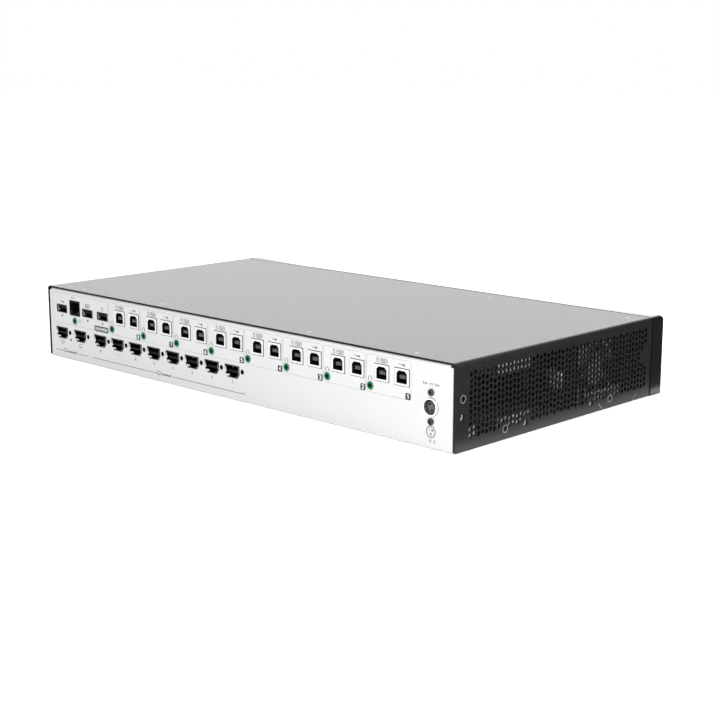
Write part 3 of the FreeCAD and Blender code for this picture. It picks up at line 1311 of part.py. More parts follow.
def fan_bracket():
    """Folded plate on the tray floor that carries the fan at its inner face."""
    face_x = FAN_INNER_X
    plate = box((face_x, FAN_Y - FAN_SIZE / 2, TRAY_SHEET),
                (face_x + BRACKET_SHEET, FAN_Y + FAN_SIZE / 2, FAN_Z + FAN_SIZE / 2))
    foot = box((face_x, FAN_Y - FAN_SIZE / 2, TRAY_SHEET),
               (face_x + BRACKET_FOOT, FAN_Y + FAN_SIZE / 2, TRAY_SHEET + BRACKET_SHEET))
    window = cylinder(FAN_BORE - 0.5, BRACKET_SHEET, (face_x, FAN_Y, FAN_Z), (1, 0, 0))
    holes = [cylinder(M3_RADIUS, BRACKET_SHEET, (face_x, y, z), (1, 0, 0)) for y, z in fan_hole_places()]
    return fuse_all([plate, foot]).cut([window] + holes)


def fan_screws():
    """Screws through the bracket into the fan frame."""
    seat_x = FAN_INNER_X + BRACKET_SHEET
    return [pan_screw((seat_x, y, z), (-1, 0, 0), FAN_SCREW_LENGTH, PAN_HEAD_RADIUS, PAN_HEAD_HEIGHT, M3_RADIUS)
            for y, z in fan_hole_places()]


# ================================================================ export
def nodes():
    """Every node's name and its solids."""
    parts = {
        "base_tray": [base_tray()],
        "lid": [lid()],
        "lid_stiffener": [lid_stiffener()],
        "lid_top_screws": lid_top_screws(),
        "lid_side_screws": lid_side_screws(),
        "clinch_nuts": clinch_nuts(),
        "front_fascia": [front_fascia()],
        "fascia_screws": fascia_screws(),
        "indicator_lenses": indicator_lenses(),
        "indicator_leds": indicator_leds(),
        "key_switches": key_switches(),
        "key_board": [key_board()],
        "key_board_ribbon": [key_board_ribbon()],
        "options_key": [key(OPTIONS_KEY_X)],
        "lower_board": [lower_board()],
        "upper_board": [upper_board()],
        "lower_pillars": lower_pillars(),
        "upper_pillars": upper_pillars(),
        "board_screws": board_screws(),
        "board_chips": board_chips(),
        "board_headers": board_headers(),
        "heat_sinks": heat_sinks(),
        "capacitors": capacitors(),
        "usb_b_tongues": usb_b_tongues(),
        "usb_a_tongues": usb_a_tongues(),
        "options_socket": [options_socket()],
        "audio_jacks": audio_jacks(),
        "video_output_sockets": [video_socket(x) for x in VIDEO_OUTPUT_XS],
        "video_input_sockets_1_4": [video_socket(video_input_x(c)) for c in range(1, 5)],
        "video_input_sockets_5_8": [video_socket(video_input_x(c)) for c in range(5, 9)],
        "video_tongues": video_tongues(),
        "video_lock_nuts": video_lock_nuts(),
        "power_inlet_shell": [power_inlet_shell()],
        "power_inlet_insulator": [power_inlet_insulator()],
        "power_inlet_pins": power_inlet_pins(),
        "inlet_screws": inlet_screws(),
        "power_leads": power_leads(),
        "fan_frame": [fan_frame()],
        "fan_rotor": [fan_rotor()],
        "fan_bracket": [fan_bracket()],
        "fan_screws": fan_screws(),
    }
    for channel in range(1, CHANNELS + 1):
        parts["channel_key_%d" % channel] = [key(key_x(channel))]
        parts["usb_b_sockets_%d" % channel] = usb_b_sockets(channel)
    for index, x in enumerate(USB_A_XS, start=1):
        parts["usb_a_socket_%d" % index] = [usb_a_socket(x)]
    return parts


def main():
    os.makedirs("parts", exist_ok=True)
    for name, solids in nodes().items():
        shape = solids[0] if len(solids) == 1 else Part.makeCompound(solids)
        shape.exportStep(os.path.join("parts", name + ".step"))
        print("%-26s solids %3d  volume %10.1f" % (name, len(shape.Solids), shape.Volume))


main()
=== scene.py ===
import math

import bmesh
import bpy
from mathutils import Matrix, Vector


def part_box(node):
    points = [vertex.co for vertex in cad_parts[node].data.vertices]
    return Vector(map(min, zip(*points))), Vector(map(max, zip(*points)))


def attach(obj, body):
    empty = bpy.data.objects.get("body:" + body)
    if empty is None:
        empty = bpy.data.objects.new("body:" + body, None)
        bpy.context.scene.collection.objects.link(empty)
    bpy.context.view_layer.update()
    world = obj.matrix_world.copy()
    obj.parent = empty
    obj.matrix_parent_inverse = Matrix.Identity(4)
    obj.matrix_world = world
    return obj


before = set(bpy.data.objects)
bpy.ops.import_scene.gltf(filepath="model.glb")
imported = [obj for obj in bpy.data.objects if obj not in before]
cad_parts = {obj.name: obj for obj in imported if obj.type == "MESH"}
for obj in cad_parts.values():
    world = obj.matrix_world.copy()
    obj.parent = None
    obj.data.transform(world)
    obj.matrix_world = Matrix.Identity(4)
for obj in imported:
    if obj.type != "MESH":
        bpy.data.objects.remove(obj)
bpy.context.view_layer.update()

# Looks of the eight-channel KVM switch.  Metres, in the CAD part's own frame:
# the socket panel faces +Y, the front fascia faces -Y, X runs along the case.

MM = 0.001
CHANNELS = 8
RING_STEPS = 28

# -------------------- camera
CAMERA_PLACE = (-0.74973, 0.75123, 0.23750)
CAMERA_DIRECTION = (0.6795, -0.7030, -0.2098)
CAMERA_LENS = 72.44                    # millimetres, as the sensor's width is
CAMERA_SENSOR = 36.0
CAMERA_NEAR_CLIP = 10.0 * MM

# -------------------- case, as in the CAD part
LID_SHEET = 1.2 * MM
LID_BEND = 2.4 * MM
TRAY_SHEET = 1.2 * MM
ARC_MARK_DEPTH = 0.3 * MM
TALL_CANS_X = -176.0 * MM              # sleeved cans stand at greater X, the wide bare one at less
SIDE_SCREWS = ((7.5, 33.2), (48.5, 7.2), (161.7, 6.8))    # setback and height, in millimetres
SCREW_RIM_RADIUS = 2.6 * MM
SCREW_RIM_WIDTH = 0.55 * MM

# -------------------- sockets, as in the CAD part
USB_B_OFFSET = 8.5 * MM                # each socket of a pair, from their middle
USB_A_SOCKETS = ("usb_a_socket_1", "usb_a_socket_2", "usb_a_socket_3")
USB_A_SKIN = 0.35 * MM
USB_A_HEIGHT = 6.0 * MM
JACK_OFFSET = 18.4 * MM                # each channel's jack, from the middle of its USB-B pair
JACK_HALF_WIDTH = 3.5 * MM
JACK_Z = 31.6 * MM
INLET_NOSE_RADIUS = 3.6 * MM
VIDEO_HALF_WIDTH = 7.4 * MM
VIDEO_SKIN = 0.5 * MM
VIDEO_CORNER = (2.3 * MM, 3.0 * MM)    # lower corners: run along X, rise along Z

# -------------------- telling a mesh's faces apart
TOUCH = 0.05 * MM                      # a face this near a plane counts as lying on it
FACING = 0.9                           # a normal this long along an axis looks that way
SIDELONG = 0.5                         # and one shorter than this looks some other way
UPRIGHT = 0.1                          # an upright wall's normal rises less than this

# -------------------- printed marks on the socket panel
INK_THICKNESS = 0.04 * MM
PANEL_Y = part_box("base_tray")[1][1]
CHANNEL_OUTLINE_SHIFT = 2.85 * MM      # outline's centre, from the middle of the USB-B pair
CHANNEL_OUTLINE_WIDTH = 37.5 * MM
CHANNEL_OUTLINE_Z = (27.6 * MM, 51.75 * MM)
CONSOLE_OUTLINE_X = (132.6 * MM, 203.9 * MM)
CONSOLE_OUTLINE_Z = (28.0 * MM, 51.75 * MM)
CONSOLE_LABEL_X = (133.4 * MM, 149.9 * MM)
CONSOLE_LABEL_Z = (27.9 * MM, 31.3 * MM)
OUTLINE_CORNER = 1.5 * MM
OUTLINE_WIDTH = 0.32 * MM
FINE_LINE = 0.36 * MM
ICON_LINE = 0.45 * MM
NUMBER_BOX = (4.3 * MM, 4.2 * MM)
NUMBER_BOX_CORNER = 0.6 * MM
NUMBER_BOX_INSET = 0.15 * MM
NUMBER_SIZE = (1.5 * MM, 2.5 * MM)
NUMBER_LINE = 0.42 * MM
SMALL_NUMBER_SIZE = (1.0 * MM, 1.8 * MM)

# Pictograms of a channel: along X from the middle of its USB-B pair, and height.
CHANNEL_MOUSE = (12.0 * MM, 49.0 * MM)
CHANNEL_KEYBOARD = (6.6 * MM, 49.0 * MM)
CHANNEL_PLUG = (-8.4 * MM, 48.8 * MM)
CHANNEL_HEADPHONES = (JACK_OFFSET, 36.3 * MM)

# Pictograms of the console and marks under the sockets, as (x, z) or one of the two.
CONSOLE_PLUG = (192.3 * MM, 45.0 * MM)
CONSOLE_KEYBOARD = (158.9 * MM, 45.3 * MM)
CONSOLE_MOUSE = (139.8 * MM, 45.2 * MM)
CONSOLE_HEADPHONES = (169.0 * MM, 32.0 * MM)
OPTIONS_ARROW = (178.8 * MM, 49.5 * MM)
USB_A_TICK_Z = 34.5 * MM
OUTPUT_DOT = (182.0 * MM, 15.8 * MM)
OUTPUT_DOT_RADIUS = 1.0 * MM
OUTPUT_SCREENS_X = (193.3 * MM, 169.5 * MM)
VIDEO_MARK_Z = 12.6 * MM
CURRENT_SIGN_Z = 40.5 * MM
PIN_DRAWING_Z = 10.9 * MM

# Bracket lines that gather the video sockets, in millimetres: their ends along X, the (x, rise)
# of a line with a turned-up end, and each screen with the two ends of its stand-in word.
BRACKET_Z = 6.0 * MM
BRACKET_LINES = ((160.0, 172.0), (192.0, 203.0), (75.0, 154.0))
BRACKET_HOOK = ((57.0, 0.0), (-21.0, 0.0), (-21.0, 1.5))
BRACKET_MARKS = ((190.0, 174.0, 186.5), (73.0, 58.5, 69.5))

# -------------------- studio
FLOOR_HALF_SIZE = 6.0
FLOOR_DROP = 0.2 * MM                  # keeps the floor clear of the case's underside
FLOOR_GLOW = 0.25
AREA_LIGHTS = (                        # name, place, aim, size, watts
    ("key_light", (-0.42, 0.58, 0.36), (-0.16, 0.10, 0.03), (0.25, 0.25), 3.1),
    ("far_card", (1.14, -1.60, 0.82), (0.0, -0.02, 0.05), (2.4, 0.95), 16.6),
    ("vent_light", (-1.25, -0.12, 0.38), (-0.21, 0.0, 0.03), (0.2, 0.2), 12.0),
    ("top_light", (0.0, 0.0, 2.0), (0.0, 0.0, 0.0), (2.0, 2.0), 10.0),
)
DARK_CLOTHS = (                        # low and high corner of a sheet beside the case and two walls
    ((-1.7, -1.7, 0.0004), (-0.221, 0.12, 0.0006)),
    ((-1.72, -1.75, 0.0004), (-1.70, 0.35, 1.6)),
    ((-1.72, -1.75, 0.0004), (-0.30, -1.73, 1.6)),
)

# Digits as strokes on a grid two units wide and four tall; the origin is the lower left.
DIGIT_STROKES = {
    1: (((0.2, 3.2), (1.2, 4.0), (1.2, 0.0)),),
    2: (((0.0, 3.2), (0.5, 4.0), (1.5, 4.0), (2.0, 3.2), (1.8, 2.3), (0.0, 0.0), (2.0, 0.0)),),
    3: (((0.0, 3.5), (0.6, 4.0), (1.5, 4.0), (2.0, 3.1), (1.4, 2.2), (0.8, 2.1)),
        ((1.4, 2.1), (2.0, 1.2), (1.6, 0.1), (0.6, 0.0), (0.0, 0.6))),
    4: (((1.5, 0.0), (1.5, 4.0), (0.0, 1.2), (2.0, 1.2)),),
    5: (((1.8, 4.0), (0.3, 4.0), (0.1, 2.3), (1.2, 2.5), (2.0, 1.6), (1.7, 0.3), (0.8, 0.0), (0.0, 0.5)),),
    6: (((1.8, 3.8), (0.8, 3.9), (0.1, 2.6), (0.0, 1.2), (0.5, 0.1), (1.5, 0.1), (2.0, 1.2), (1.4, 2.3),
         (0.3, 2.0)),),
    7: (((0.0, 4.0), (2.0, 4.0), (0.8, 0.0)),),
    8: (((1.0, 2.2), (0.2, 3.0), (0.6, 4.0), (1.4, 4.0), (1.8, 3.0), (1.0, 2.2), (0.0, 1.2), (0.4, 0.0),
         (1.6, 0.0), (2.0, 1.2), (1.0, 2.2)),),
}


# ==================== mesh helpers
def centre_of(node):
    low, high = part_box(node)
    return Vector([(a + b) / 2 for a, b in zip(low, high)])


def new_object(name, bm, material):
    """Object from a bmesh, linked to the scene."""
    mesh = bpy.data.meshes.new(name)
    bm.to_mesh(mesh)
    bm.free()
    mesh.materials.append(material)
    obj = bpy.data.objects.new(name, mesh)
    bpy.context.scene.collection.objects.link(obj)
    return obj


def piece(name, bm, material):
    """Finished piece that rides on the case."""
    bmesh.ops.recalc_face_normals(bm, faces=bm.faces)
    obj = new_object(name, bm, material)
    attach(obj, "case")


def prism(bm, outline, back_y, front_y):
    """Closed plate whose outline is a list of (x, z), between two Y planes."""
    back = [bm.verts.new((x, back_y, z)) for x, z in outline]
    front = [bm.verts.new((x, front_y, z)) for x, z in outline]
    bm.faces.new(back)
    bm.faces.new(list(reversed(front)))
    count = len(outline)
    for index in range(count):
        following = (index + 1) % count
        bm.faces.new((back[index], front[index], front[following], back[following]))


def stroke(bm, points, width, back_y, front_y, closed=False):
    """Flat ribbon of constant width along a list of (x, z), with mitred corners."""
    points = [Vector(p) for p in points]
    count = len(points)
    rows = []
    for index, point in enumerate(points):
        before = points[index - 1] if index > 0 or closed else None
        after = points[(index + 1) % count] if index < count - 1 or closed else None
        directions = []
        if before is not None:
            directions.append((point - before).normalized())
        if after is not None:
            directions.append((after - point).normalized())
        along = sum(directions, Vector((0, 0))).normalized()
        across = Vector((-along.y, along.x))
        stretch = 1 / max(0.5, abs(along.dot(directions[0])))
        offset = across * (width / 2 * stretch)
        corners = []
        for side in (-1, 1):
            place = point + offset * side
            corners.append([bm.verts.new((place.x, y, place.y)) for y in (back_y, front_y)])
        rows.append(corners)
    spans = count if closed else count - 1
    for index in range(spans):
        (back_a, front_a), (back_b, front_b) = rows[index]
        (back_c, front_c), (back_d, front_d) = rows[(index + 1) % count]
        bm.faces.new((front_a, front_c, front_d, front_b))
        bm.faces.new((back_a, back_b, back_d, back_c))
        bm.faces.new((back_a, back_c, front_c, front_a))
        bm.faces.new((back_b, front_b, front_d, back_d))
    if not closed:
        for (back_a, front_a), (back_b, front_b) in (rows[0], rows[-1]):
            bm.faces.new((back_a, front_a, front_b, back_b))


def ink_stroke(bm, points, width, closed=False, lift=0.0):
    stroke(bm, points, width, PANEL_Y + lift, PANEL_Y + lift + INK_THICKNESS, closed)


def ink_plate(bm, outline, lift=0.0):
    prism(bm, outline, PANEL_Y + lift, PANEL_Y + lift + INK_THICKNESS)


def arc_points(centre, radius, start, end, steps):
    """Points on an arc from start to end, in degrees."""
    points = []
    for index in range(steps + 1):
        angle = math.radians(start + (end - start) * index / steps)
        points.append((centre[0] + radius * math.cos(angle), centre[1] + radius * math.sin(angle)))
    return points


def circle_points(centre, radius, steps):
    return arc_points(centre, radius, 0.0, 360.0, steps)[:-1]


def rounded_rectangle(low_x, high_x, low_z, high_z, radius, steps=5):
    centres = ((high_x - radius, high_z - radius, 0.0), (low_x + radius, high_z - radius, 90.0),
               (low_x + radius, low_z + radius, 180.0), (high_x - radius, low_z + radius, 270.0))
    points = []
    for x, z, start in centres:
        points += arc_points((x, z), radius, start, start + 90.0, steps)
    return points


def rectangle(low_x, high_x, low_z, high_z):
    return [(low_x, low_z), (high_x, low_z), (high_x, high_z), (low_x, high_z)]


def near(x, z, *offsets):
    """Points given in millimetres from (x, z)."""
    return [(x + dx * MM, z + dz * MM) for dx, dz in offsets]


def box_near(x, z, low_x, high_x, low_z, high_z):
    """Rectangle whose sides are given in millimetres from (x, z)."""
    return rectangle(x + low_x * MM, x + high_x * MM, z + low_z * MM, z + high_z * MM)


def block(bm, low, high):
    """Box between two corners, added to a larger mesh."""
    prism(bm, rectangle(low[0], high[0], low[2], high[2]), low[1], high[1])


def close_ring(bm, circles):
    """Join circles of vertices, each to the next and the last to the first."""
    for index, circle in enumerate(circles):
        other = circles[(index + 1) % len(circles)]
        for step in range(len(circle)):
            following = (step + 1) % len(circle)
            bm.faces.new((circle[step], circle[following], other[following], other[step]))


def ring_along_x(bm, centre, outer, inner, low_x, high_x):
    """Plain ring that runs along X round a point (y, z)."""
    circles = []
    for radius, x in ((outer, low_x), (outer, high_x), (inner, high_x), (inner, low_x)):
        circles.append([bm.verts.new((x, y, z)) for y, z in circle_points(centre, radius, RING_STEPS)])
    close_ring(bm, circles)


def ring_along_y(bm, centre, outer, inner, back_y, front_y):
    """Plain ring that runs along Y round a point (x, z)."""
    circles = []
    for radius, y in ((outer, back_y), (outer, front_y), (inner, front_y), (inner, back_y)):
        circles.append([bm.verts.new((x, y, z)) for x, z in circle_points(centre, radius, RING_STEPS)])
    close_ring(bm, circles)


def bent_strip(bm, x_low, x_high, profile, thickness):
    """Sprung strip that follows a list of (y, z) in side view."""
    lower = [(y, z - thickness) for y, z in profile]
    outline = profile + list(reversed(lower))
    left = [bm.verts.new((x_low, y, z)) for y, z in outline]
    right = [bm.verts.new((x_high, y, z)) for y, z in outline]
    count = len(outline)
    for index in range(count):
        following = (index + 1) % count
        bm.faces.new((left[index], right[index], right[following], left[following]))
    for index in range(len(profile) - 1):
        other = count - 1 - index
        bm.faces.new((left[index], left[index + 1], left[other - 1], left[other]))
        bm.faces.new((right[index + 1], right[index], right[other], right[other - 1]))


def painted_light_strip(bm, path, depths, front_y, inward):
    """Thin strip along a mouth's inner wall, from the front edge to its own depth at each point; it
    carries painted light.
    """
    sections = []
    for (x, z), depth in zip(path, depths):
        back_y = front_y - depth
        corners = ((x, front_y, z), (x + inward, front_y, z), (x + inward, back_y, z), (x, back_y, z))
        sections.append([bm.verts.new(corner) for corner in corners])
    for first, second in zip(sections, sections[1:]):
        for index in range(4):
            following = (index + 1) % 4
            bm.faces.new((first[index], first[following], second[following], second[index]))
    bm.faces.new(list(reversed(sections[0])))
    bm.faces.new(sections[-1])


# ==================== material helpers
class Graph:
    """A material's nodes, with short calls for the ones that repeat."""

    def __init__(self, name):
        self.material = bpy.data.materials.new(name)
        self.material.use_nodes = True
        self.tree = self.material.node_tree
        self.tree.nodes.clear()
        self.shader = self.add("ShaderNodeBsdfPrincipled")
        output = self.add("ShaderNodeOutputMaterial")
        self.link(self.shader.outputs["BSDF"], output.inputs["Surface"])
        self.place = self.add("ShaderNodeTexCoord").outputs["Object"]

    def add(self, kind, **settings):
        node = self.tree.nodes.new(kind)
        for key, value in settings.items():
            setattr(node, key, value)
        return node

    def link(self, source, target):
        self.tree.links.new(source, target)

    def stretched(self, scale):
        """Object coordinates scaled by a different amount along each axis."""
        mapping = self.add("ShaderNodeMapping")
        mapping.inputs["Scale"].default_value = scale
        self.link(self.place, mapping.inputs["Vector"])
        return mapping.outputs["Vector"]

    def noise(self, scale, detail=3.0, roughness=0.5, vector=None):
        node = self.add("ShaderNodeTexNoise")
        node.inputs["Scale"].default_value = scale
        node.inputs["Detail"].default_value = detail
        node.inputs["Roughness"].default_value = roughness
        self.link(vector or self.place, node.inputs["Vector"])
        return node.outputs["Fac"]

    def spread(self, value, low, high, from_low=0.3, from_high=0.7):
        """A 0-1 value remapped to low..high."""
        node = self.add("ShaderNodeMapRange")
        node.inputs["From Min"].default_value = from_low
        node.inputs["From Max"].default_value = from_high
        node.inputs["To Min"].default_value = low
        node.inputs["To Max"].default_value = high
        self.link(value, node.inputs["Value"])
        return node.outputs["Result"]

    def blend(self, factor, colour_a, colour_b):
        node = self.add("ShaderNodeMix", data_type="RGBA")
        self.link(factor, node.inputs["Factor"])
        for socket, colour in (("A", colour_a), ("B", colour_b)):
            target = [s for s in node.inputs if s.name == socket and s.type == "RGBA"][0]
            if isinstance(colour, tuple):
                target.default_value = colour + (1.0,)
            else:
                self.link(colour, target)
        return [s for s in node.outputs if s.type == "RGBA"][0]

    def mottle(self, scale, detail, colour_a, colour_b):
        """Two tones that drift into each other."""
        return self.blend(self.spread(self.noise(scale, detail), 0.0, 1.0), colour_a, colour_b)

    def bump(self, height, strength, distance):
        node = self.add("ShaderNodeBump")
        node.inputs["Strength"].default_value = strength
        node.inputs["Distance"].default_value = distance
        self.link(height, node.inputs["Height"])
        self.link(node.outputs["Normal"], self.shader.inputs["Normal"])

    def set(self, **values):
        for key, value in values.items():
            self.shader.inputs[key.replace("_", " ")].default_value = value

    def colour(self, socket):
        self.link(socket, self.shader.inputs["Base Color"])

    def rough(self, socket):
        self.link(socket, self.shader.inputs["Roughness"])


def shade(colour, factor):
    return tuple(min(1.0, c * factor) for c in colour)


def plastic(name, colour, roughness, grain=2600.0, relief=0.010, mottling=0.12, ior=1.48):
    """Moulded plastic: fine spark-eroded grain and slightly uneven gloss."""
    g = Graph(name)
    g.colour(g.mottle(90.0, 4.0, shade(colour, 1 - mottling), shade(colour, 1 + mottling)))
    g.rough(g.spread(g.noise(350.0, 5.0), roughness - 0.05, roughness + 0.06))
    g.bump(g.noise(grain, 2.0), 0.25, relief * MM)
    g.set(Metallic=0.0, IOR=ior)
    return g.material


def bright_metal(name, colour, roughness, stretch=(900.0, 60.0, 900.0), relief=0.004):
    """Plated sheet metal with fine rolling lines and faint handling marks."""
    g = Graph(name)
    lines = g.noise(1.0, 4.0, 0.6, g.stretched(stretch))
    smudge = g.noise(120.0, 3.0)
    g.colour(g.blend(g.spread(lines, 0.0, 1.0), shade(colour, 0.88), shade(colour, 1.06)))
    g.rough(g.spread(smudge, roughness - 0.06, roughness + 0.10))
    g.bump(lines, 0.3, relief * MM)
    g.set(Metallic=1.0)
    return g.material


def powdery_metal(name, colour):
    """Dull plated steel: mostly matt, with spangle and handling marks."""
    g = Graph(name)
    spangle = g.add("ShaderNodeTexVoronoi", feature="F1")
    spangle.inputs["Scale"].default_value = 240.0
    g.link(g.place, spangle.inputs["Vector"])
    tone = g.spread(spangle.outputs["Distance"], 0.0, 1.0, 0.1, 0.7)
    g.colour(g.blend(tone, shade(colour, 0.90), shade(colour, 1.08)))
    g.rough(g.spread(g.noise(160.0, 4.0), 0.42, 0.60))
    g.bump(g.noise(900.0, 3.0), 0.2, 0.01 * MM)
    g.set(Metallic=0.15, IOR=1.5)
    return g.material


def powder_coat():
    """Black powder coat: orange-peel skin, satin gloss, a few pale dust specks."""
    g = Graph("black_powder_coat")
    base = g.mottle(35.0, 5.0, (0.0050, 0.0050, 0.0053), (0.0066, 0.0066, 0.0070))
    specks = g.spread(g.noise(1500.0, 1.0), 0.0, 1.0, 0.80, 0.84)
    g.colour(g.blend(specks, base, (0.03, 0.03, 0.03)))
    g.rough(g.spread(g.noise(180.0, 4.0), 0.375, 0.395))
    g.bump(g.noise(2400.0, 2.0), 0.15, 0.003 * MM)
    g.set(Metallic=0.0, IOR=1.47)
    return g.material


def panel_coat():
    """Silver-white coat of the socket panel and tray, with a fine metallic grain."""
    g = Graph("silver_white_coat")
    grain = g.noise(2200.0, 2.0)
    cloud = g.noise(14.0, 3.0)
    flake = g.blend(g.spread(grain, 0.0, 1.0), (0.44, 0.44, 0.445), (0.51, 0.51, 0.515))
    g.colour(g.blend(g.spread(cloud, 0.0, 0.5), flake, (0.475, 0.477, 0.480)))
    g.rough(g.spread(g.noise(500.0, 4.0), 0.34, 0.44))
    g.bump(grain, 0.2, 0.006 * MM)
    g.set(Metallic=0.25, IOR=1.5)
    return g.material


def fascia_plastic():
    """Deep black satin moulding."""
    g = Graph("fascia_black")
    g.colour(g.mottle(60.0, 4.0, (0.0020, 0.0020, 0.0021), (0.0030, 0.0030, 0.0032)))
    g.rough(g.spread(g.noise(400.0, 5.0), 0.20, 0.24))
    g.bump(g.noise(1800.0, 2.0), 0.04, 0.001 * MM)
    g.set(Metallic=0.0, IOR=1.62)
    return g.material


def circuit_board():
    """Solder mask over copper tracks, with rows of small pads."""
    g = Graph("circuit_board")
    tracks = g.add("ShaderNodeTexBrick")
    tracks.inputs["Scale"].default_value = 260.0
    tracks.inputs["Mortar Size"].default_value = 0.03
    g.link(g.place, tracks.inputs["Vector"])
    pads = g.add("ShaderNodeTexVoronoi", feature="F1")
    pads.inputs["Scale"].default_value = 420.0
    g.link(g.place, pads.inputs["Vector"])
    mask = g.mottle(60.0, 3.0, (0.0020, 0.0080, 0.0040), (0.0030, 0.0120, 0.0055))
    copper = g.blend(tracks.outputs["Fac"], mask, (0.0050, 0.0200, 0.0090))
    on_pad = g.spread(pads.outputs["Distance"], 1.0, 0.0, 0.08, 0.12)
    g.colour(g.blend(on_pad, copper, (0.10, 0.09, 0.065)))
    g.rough(g.spread(on_pad, 0.45, 0.30, 0.0, 1.0))
    g.bump(tracks.outputs["Fac"], 0.3, 0.02 * MM)
    g.set(Metallic=0.0, IOR=1.5)
    return g.material


def ribbon_cable():
    """Grey flat cable: a row of round conductors side by side."""
    g = Graph("ribbon_cable")
    cores = g.add("ShaderNodeTexWave", wave_type="BANDS", bands_direction="X")
    cores.inputs["Scale"].default_value = 120.0
    g.link(g.place, cores.inputs["Vector"])
    g.colour(g.blend(cores.outputs["Fac"], (0.22, 0.22, 0.24), (0.48, 0.48, 0.50)))
    g.rough(g.spread(g.noise(300.0), 0.42, 0.55))
    g.bump(cores.outputs["Fac"], 0.6, 0.15 * MM)
    g.set(Metallic=0.0)
    return g.material


def frosted_lens():
    """Milky light pipe."""
    g = Graph("frosted_lens")
    g.colour(g.mottle(500.0, 4.0, (0.62, 0.66, 0.68), (0.78, 0.80, 0.82)))
    g.rough(g.spread(g.noise(900.0, 3.0), 0.25, 0.40))
    g.bump(g.noise(2400.0), 0.15, 0.006 * MM)
    g.set(Metallic=0.0, IOR=1.49, Subsurface_Weight=0.35, Subsurface_Scale=0.8 * MM)
    return g.material


def ink(name, colour, roughness=0.6):
    """Screen-printed ink with a slightly uneven lay-down."""
    g = Graph(name)
    g.colour(g.mottle(1800.0, 4.0, shade(colour, 0.8), shade(colour, 1.25)))
    g.rough(g.spread(g.noise(700.0, 3.0), roughness - 0.08, roughness + 0.08))
    g.bump(g.noise(2600.0, 2.0), 0.2, 0.006 * MM)
    g.set(Metallic=0.0)
    return g.material


def insulation(name, colour):
    """Wire insulation with faint lengthwise drawing lines."""
    g = Graph(name)
    g.colour(g.mottle(260.0, 3.0, shade(colour, 0.85), shade(colour, 1.1)))
    g.rough(g.spread(g.noise(500.0), 0.32, 0.45))
    g.bump(g.noise(1500.0, 2.0), 0.2, 0.01 * MM)
    g.set(Metallic=0.0, IOR=1.5)
    return g.material


# ==================== materials on the CAD nodes
def dress(node, material):
    """Give a CAD node one material on every face."""
    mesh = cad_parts[node].data
    mesh.materials.clear()
    mesh.materials.append(material)
    mesh.polygons.foreach_set("material_index", [0] * len(mesh.polygons))


def dress_where(node, material, wanted):
    """Give a further material to the faces whose centre and normal pass the test."""
    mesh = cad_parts[node].data
    mesh.materials.append(material)
    index = len(mesh.materials) - 1
    for face in mesh.polygons:
        if wanted(face.center, face.normal):
            face.material_index = index


def dress_nodes(looks):
    """Main look of every CAD node."""
    plain = {
        "lid": "lid_coat", "base_tray": "panel", "front_fascia": "fascia", "lid_stiffener": "dull_zinc",
        "lid_top_screws": "top_screw", "lid_side_screws": "black_screw", "clinch_nuts": "zinc",
        "fascia_screws": "zinc", "indicator_lenses": "lens", "indicator_leds": "led",
        "key_switches": "black_plastic", "key_board": "board", "key_board_ribbon": "ribbon",
        "lower_board": "board", "upper_board": "board", "lower_pillars": "brass",
        "upper_pillars": "brass", "board_screws": "zinc", "board_chips": "chip",
        "board_headers": "white_plastic", "heat_sinks": "aluminium", "capacitors": "bright_can",
        "usb_b_tongues": "grey_tongue", "usb_a_tongues": "deep_black",
        "options_socket": "deep_black", "audio_jacks": "green",
        "video_output_sockets": "black_nickel", "video_input_sockets_1_4": "black_nickel",
        "video_input_sockets_5_8": "black_nickel", "video_tongues": "deep_black",
        # the video lock nuts are near-black: painted shade down their holes
        "video_lock_nuts": "deep_black", "power_inlet_shell": "bright_ring",
        "power_inlet_insulator": "dark_plastic", "power_inlet_pins": "brass",
        "inlet_screws": "black_screw", "power_leads": "black_wire", "fan_frame": "fan_grey",
        "fan_rotor": "fan_grey", "fan_bracket": "zinc", "fan_screws": "zinc",
        "options_key": "key",
    }
    for channel in range(1, CHANNELS + 1):
        plain["channel_key_%d" % channel] = "key"
        plain["usb_b_sockets_%d" % channel] = "nickel"
    for node in USB_A_SOCKETS:
        plain[node] = "nickel"
    for node, look in plain.items():
        dress(node, looks[look])


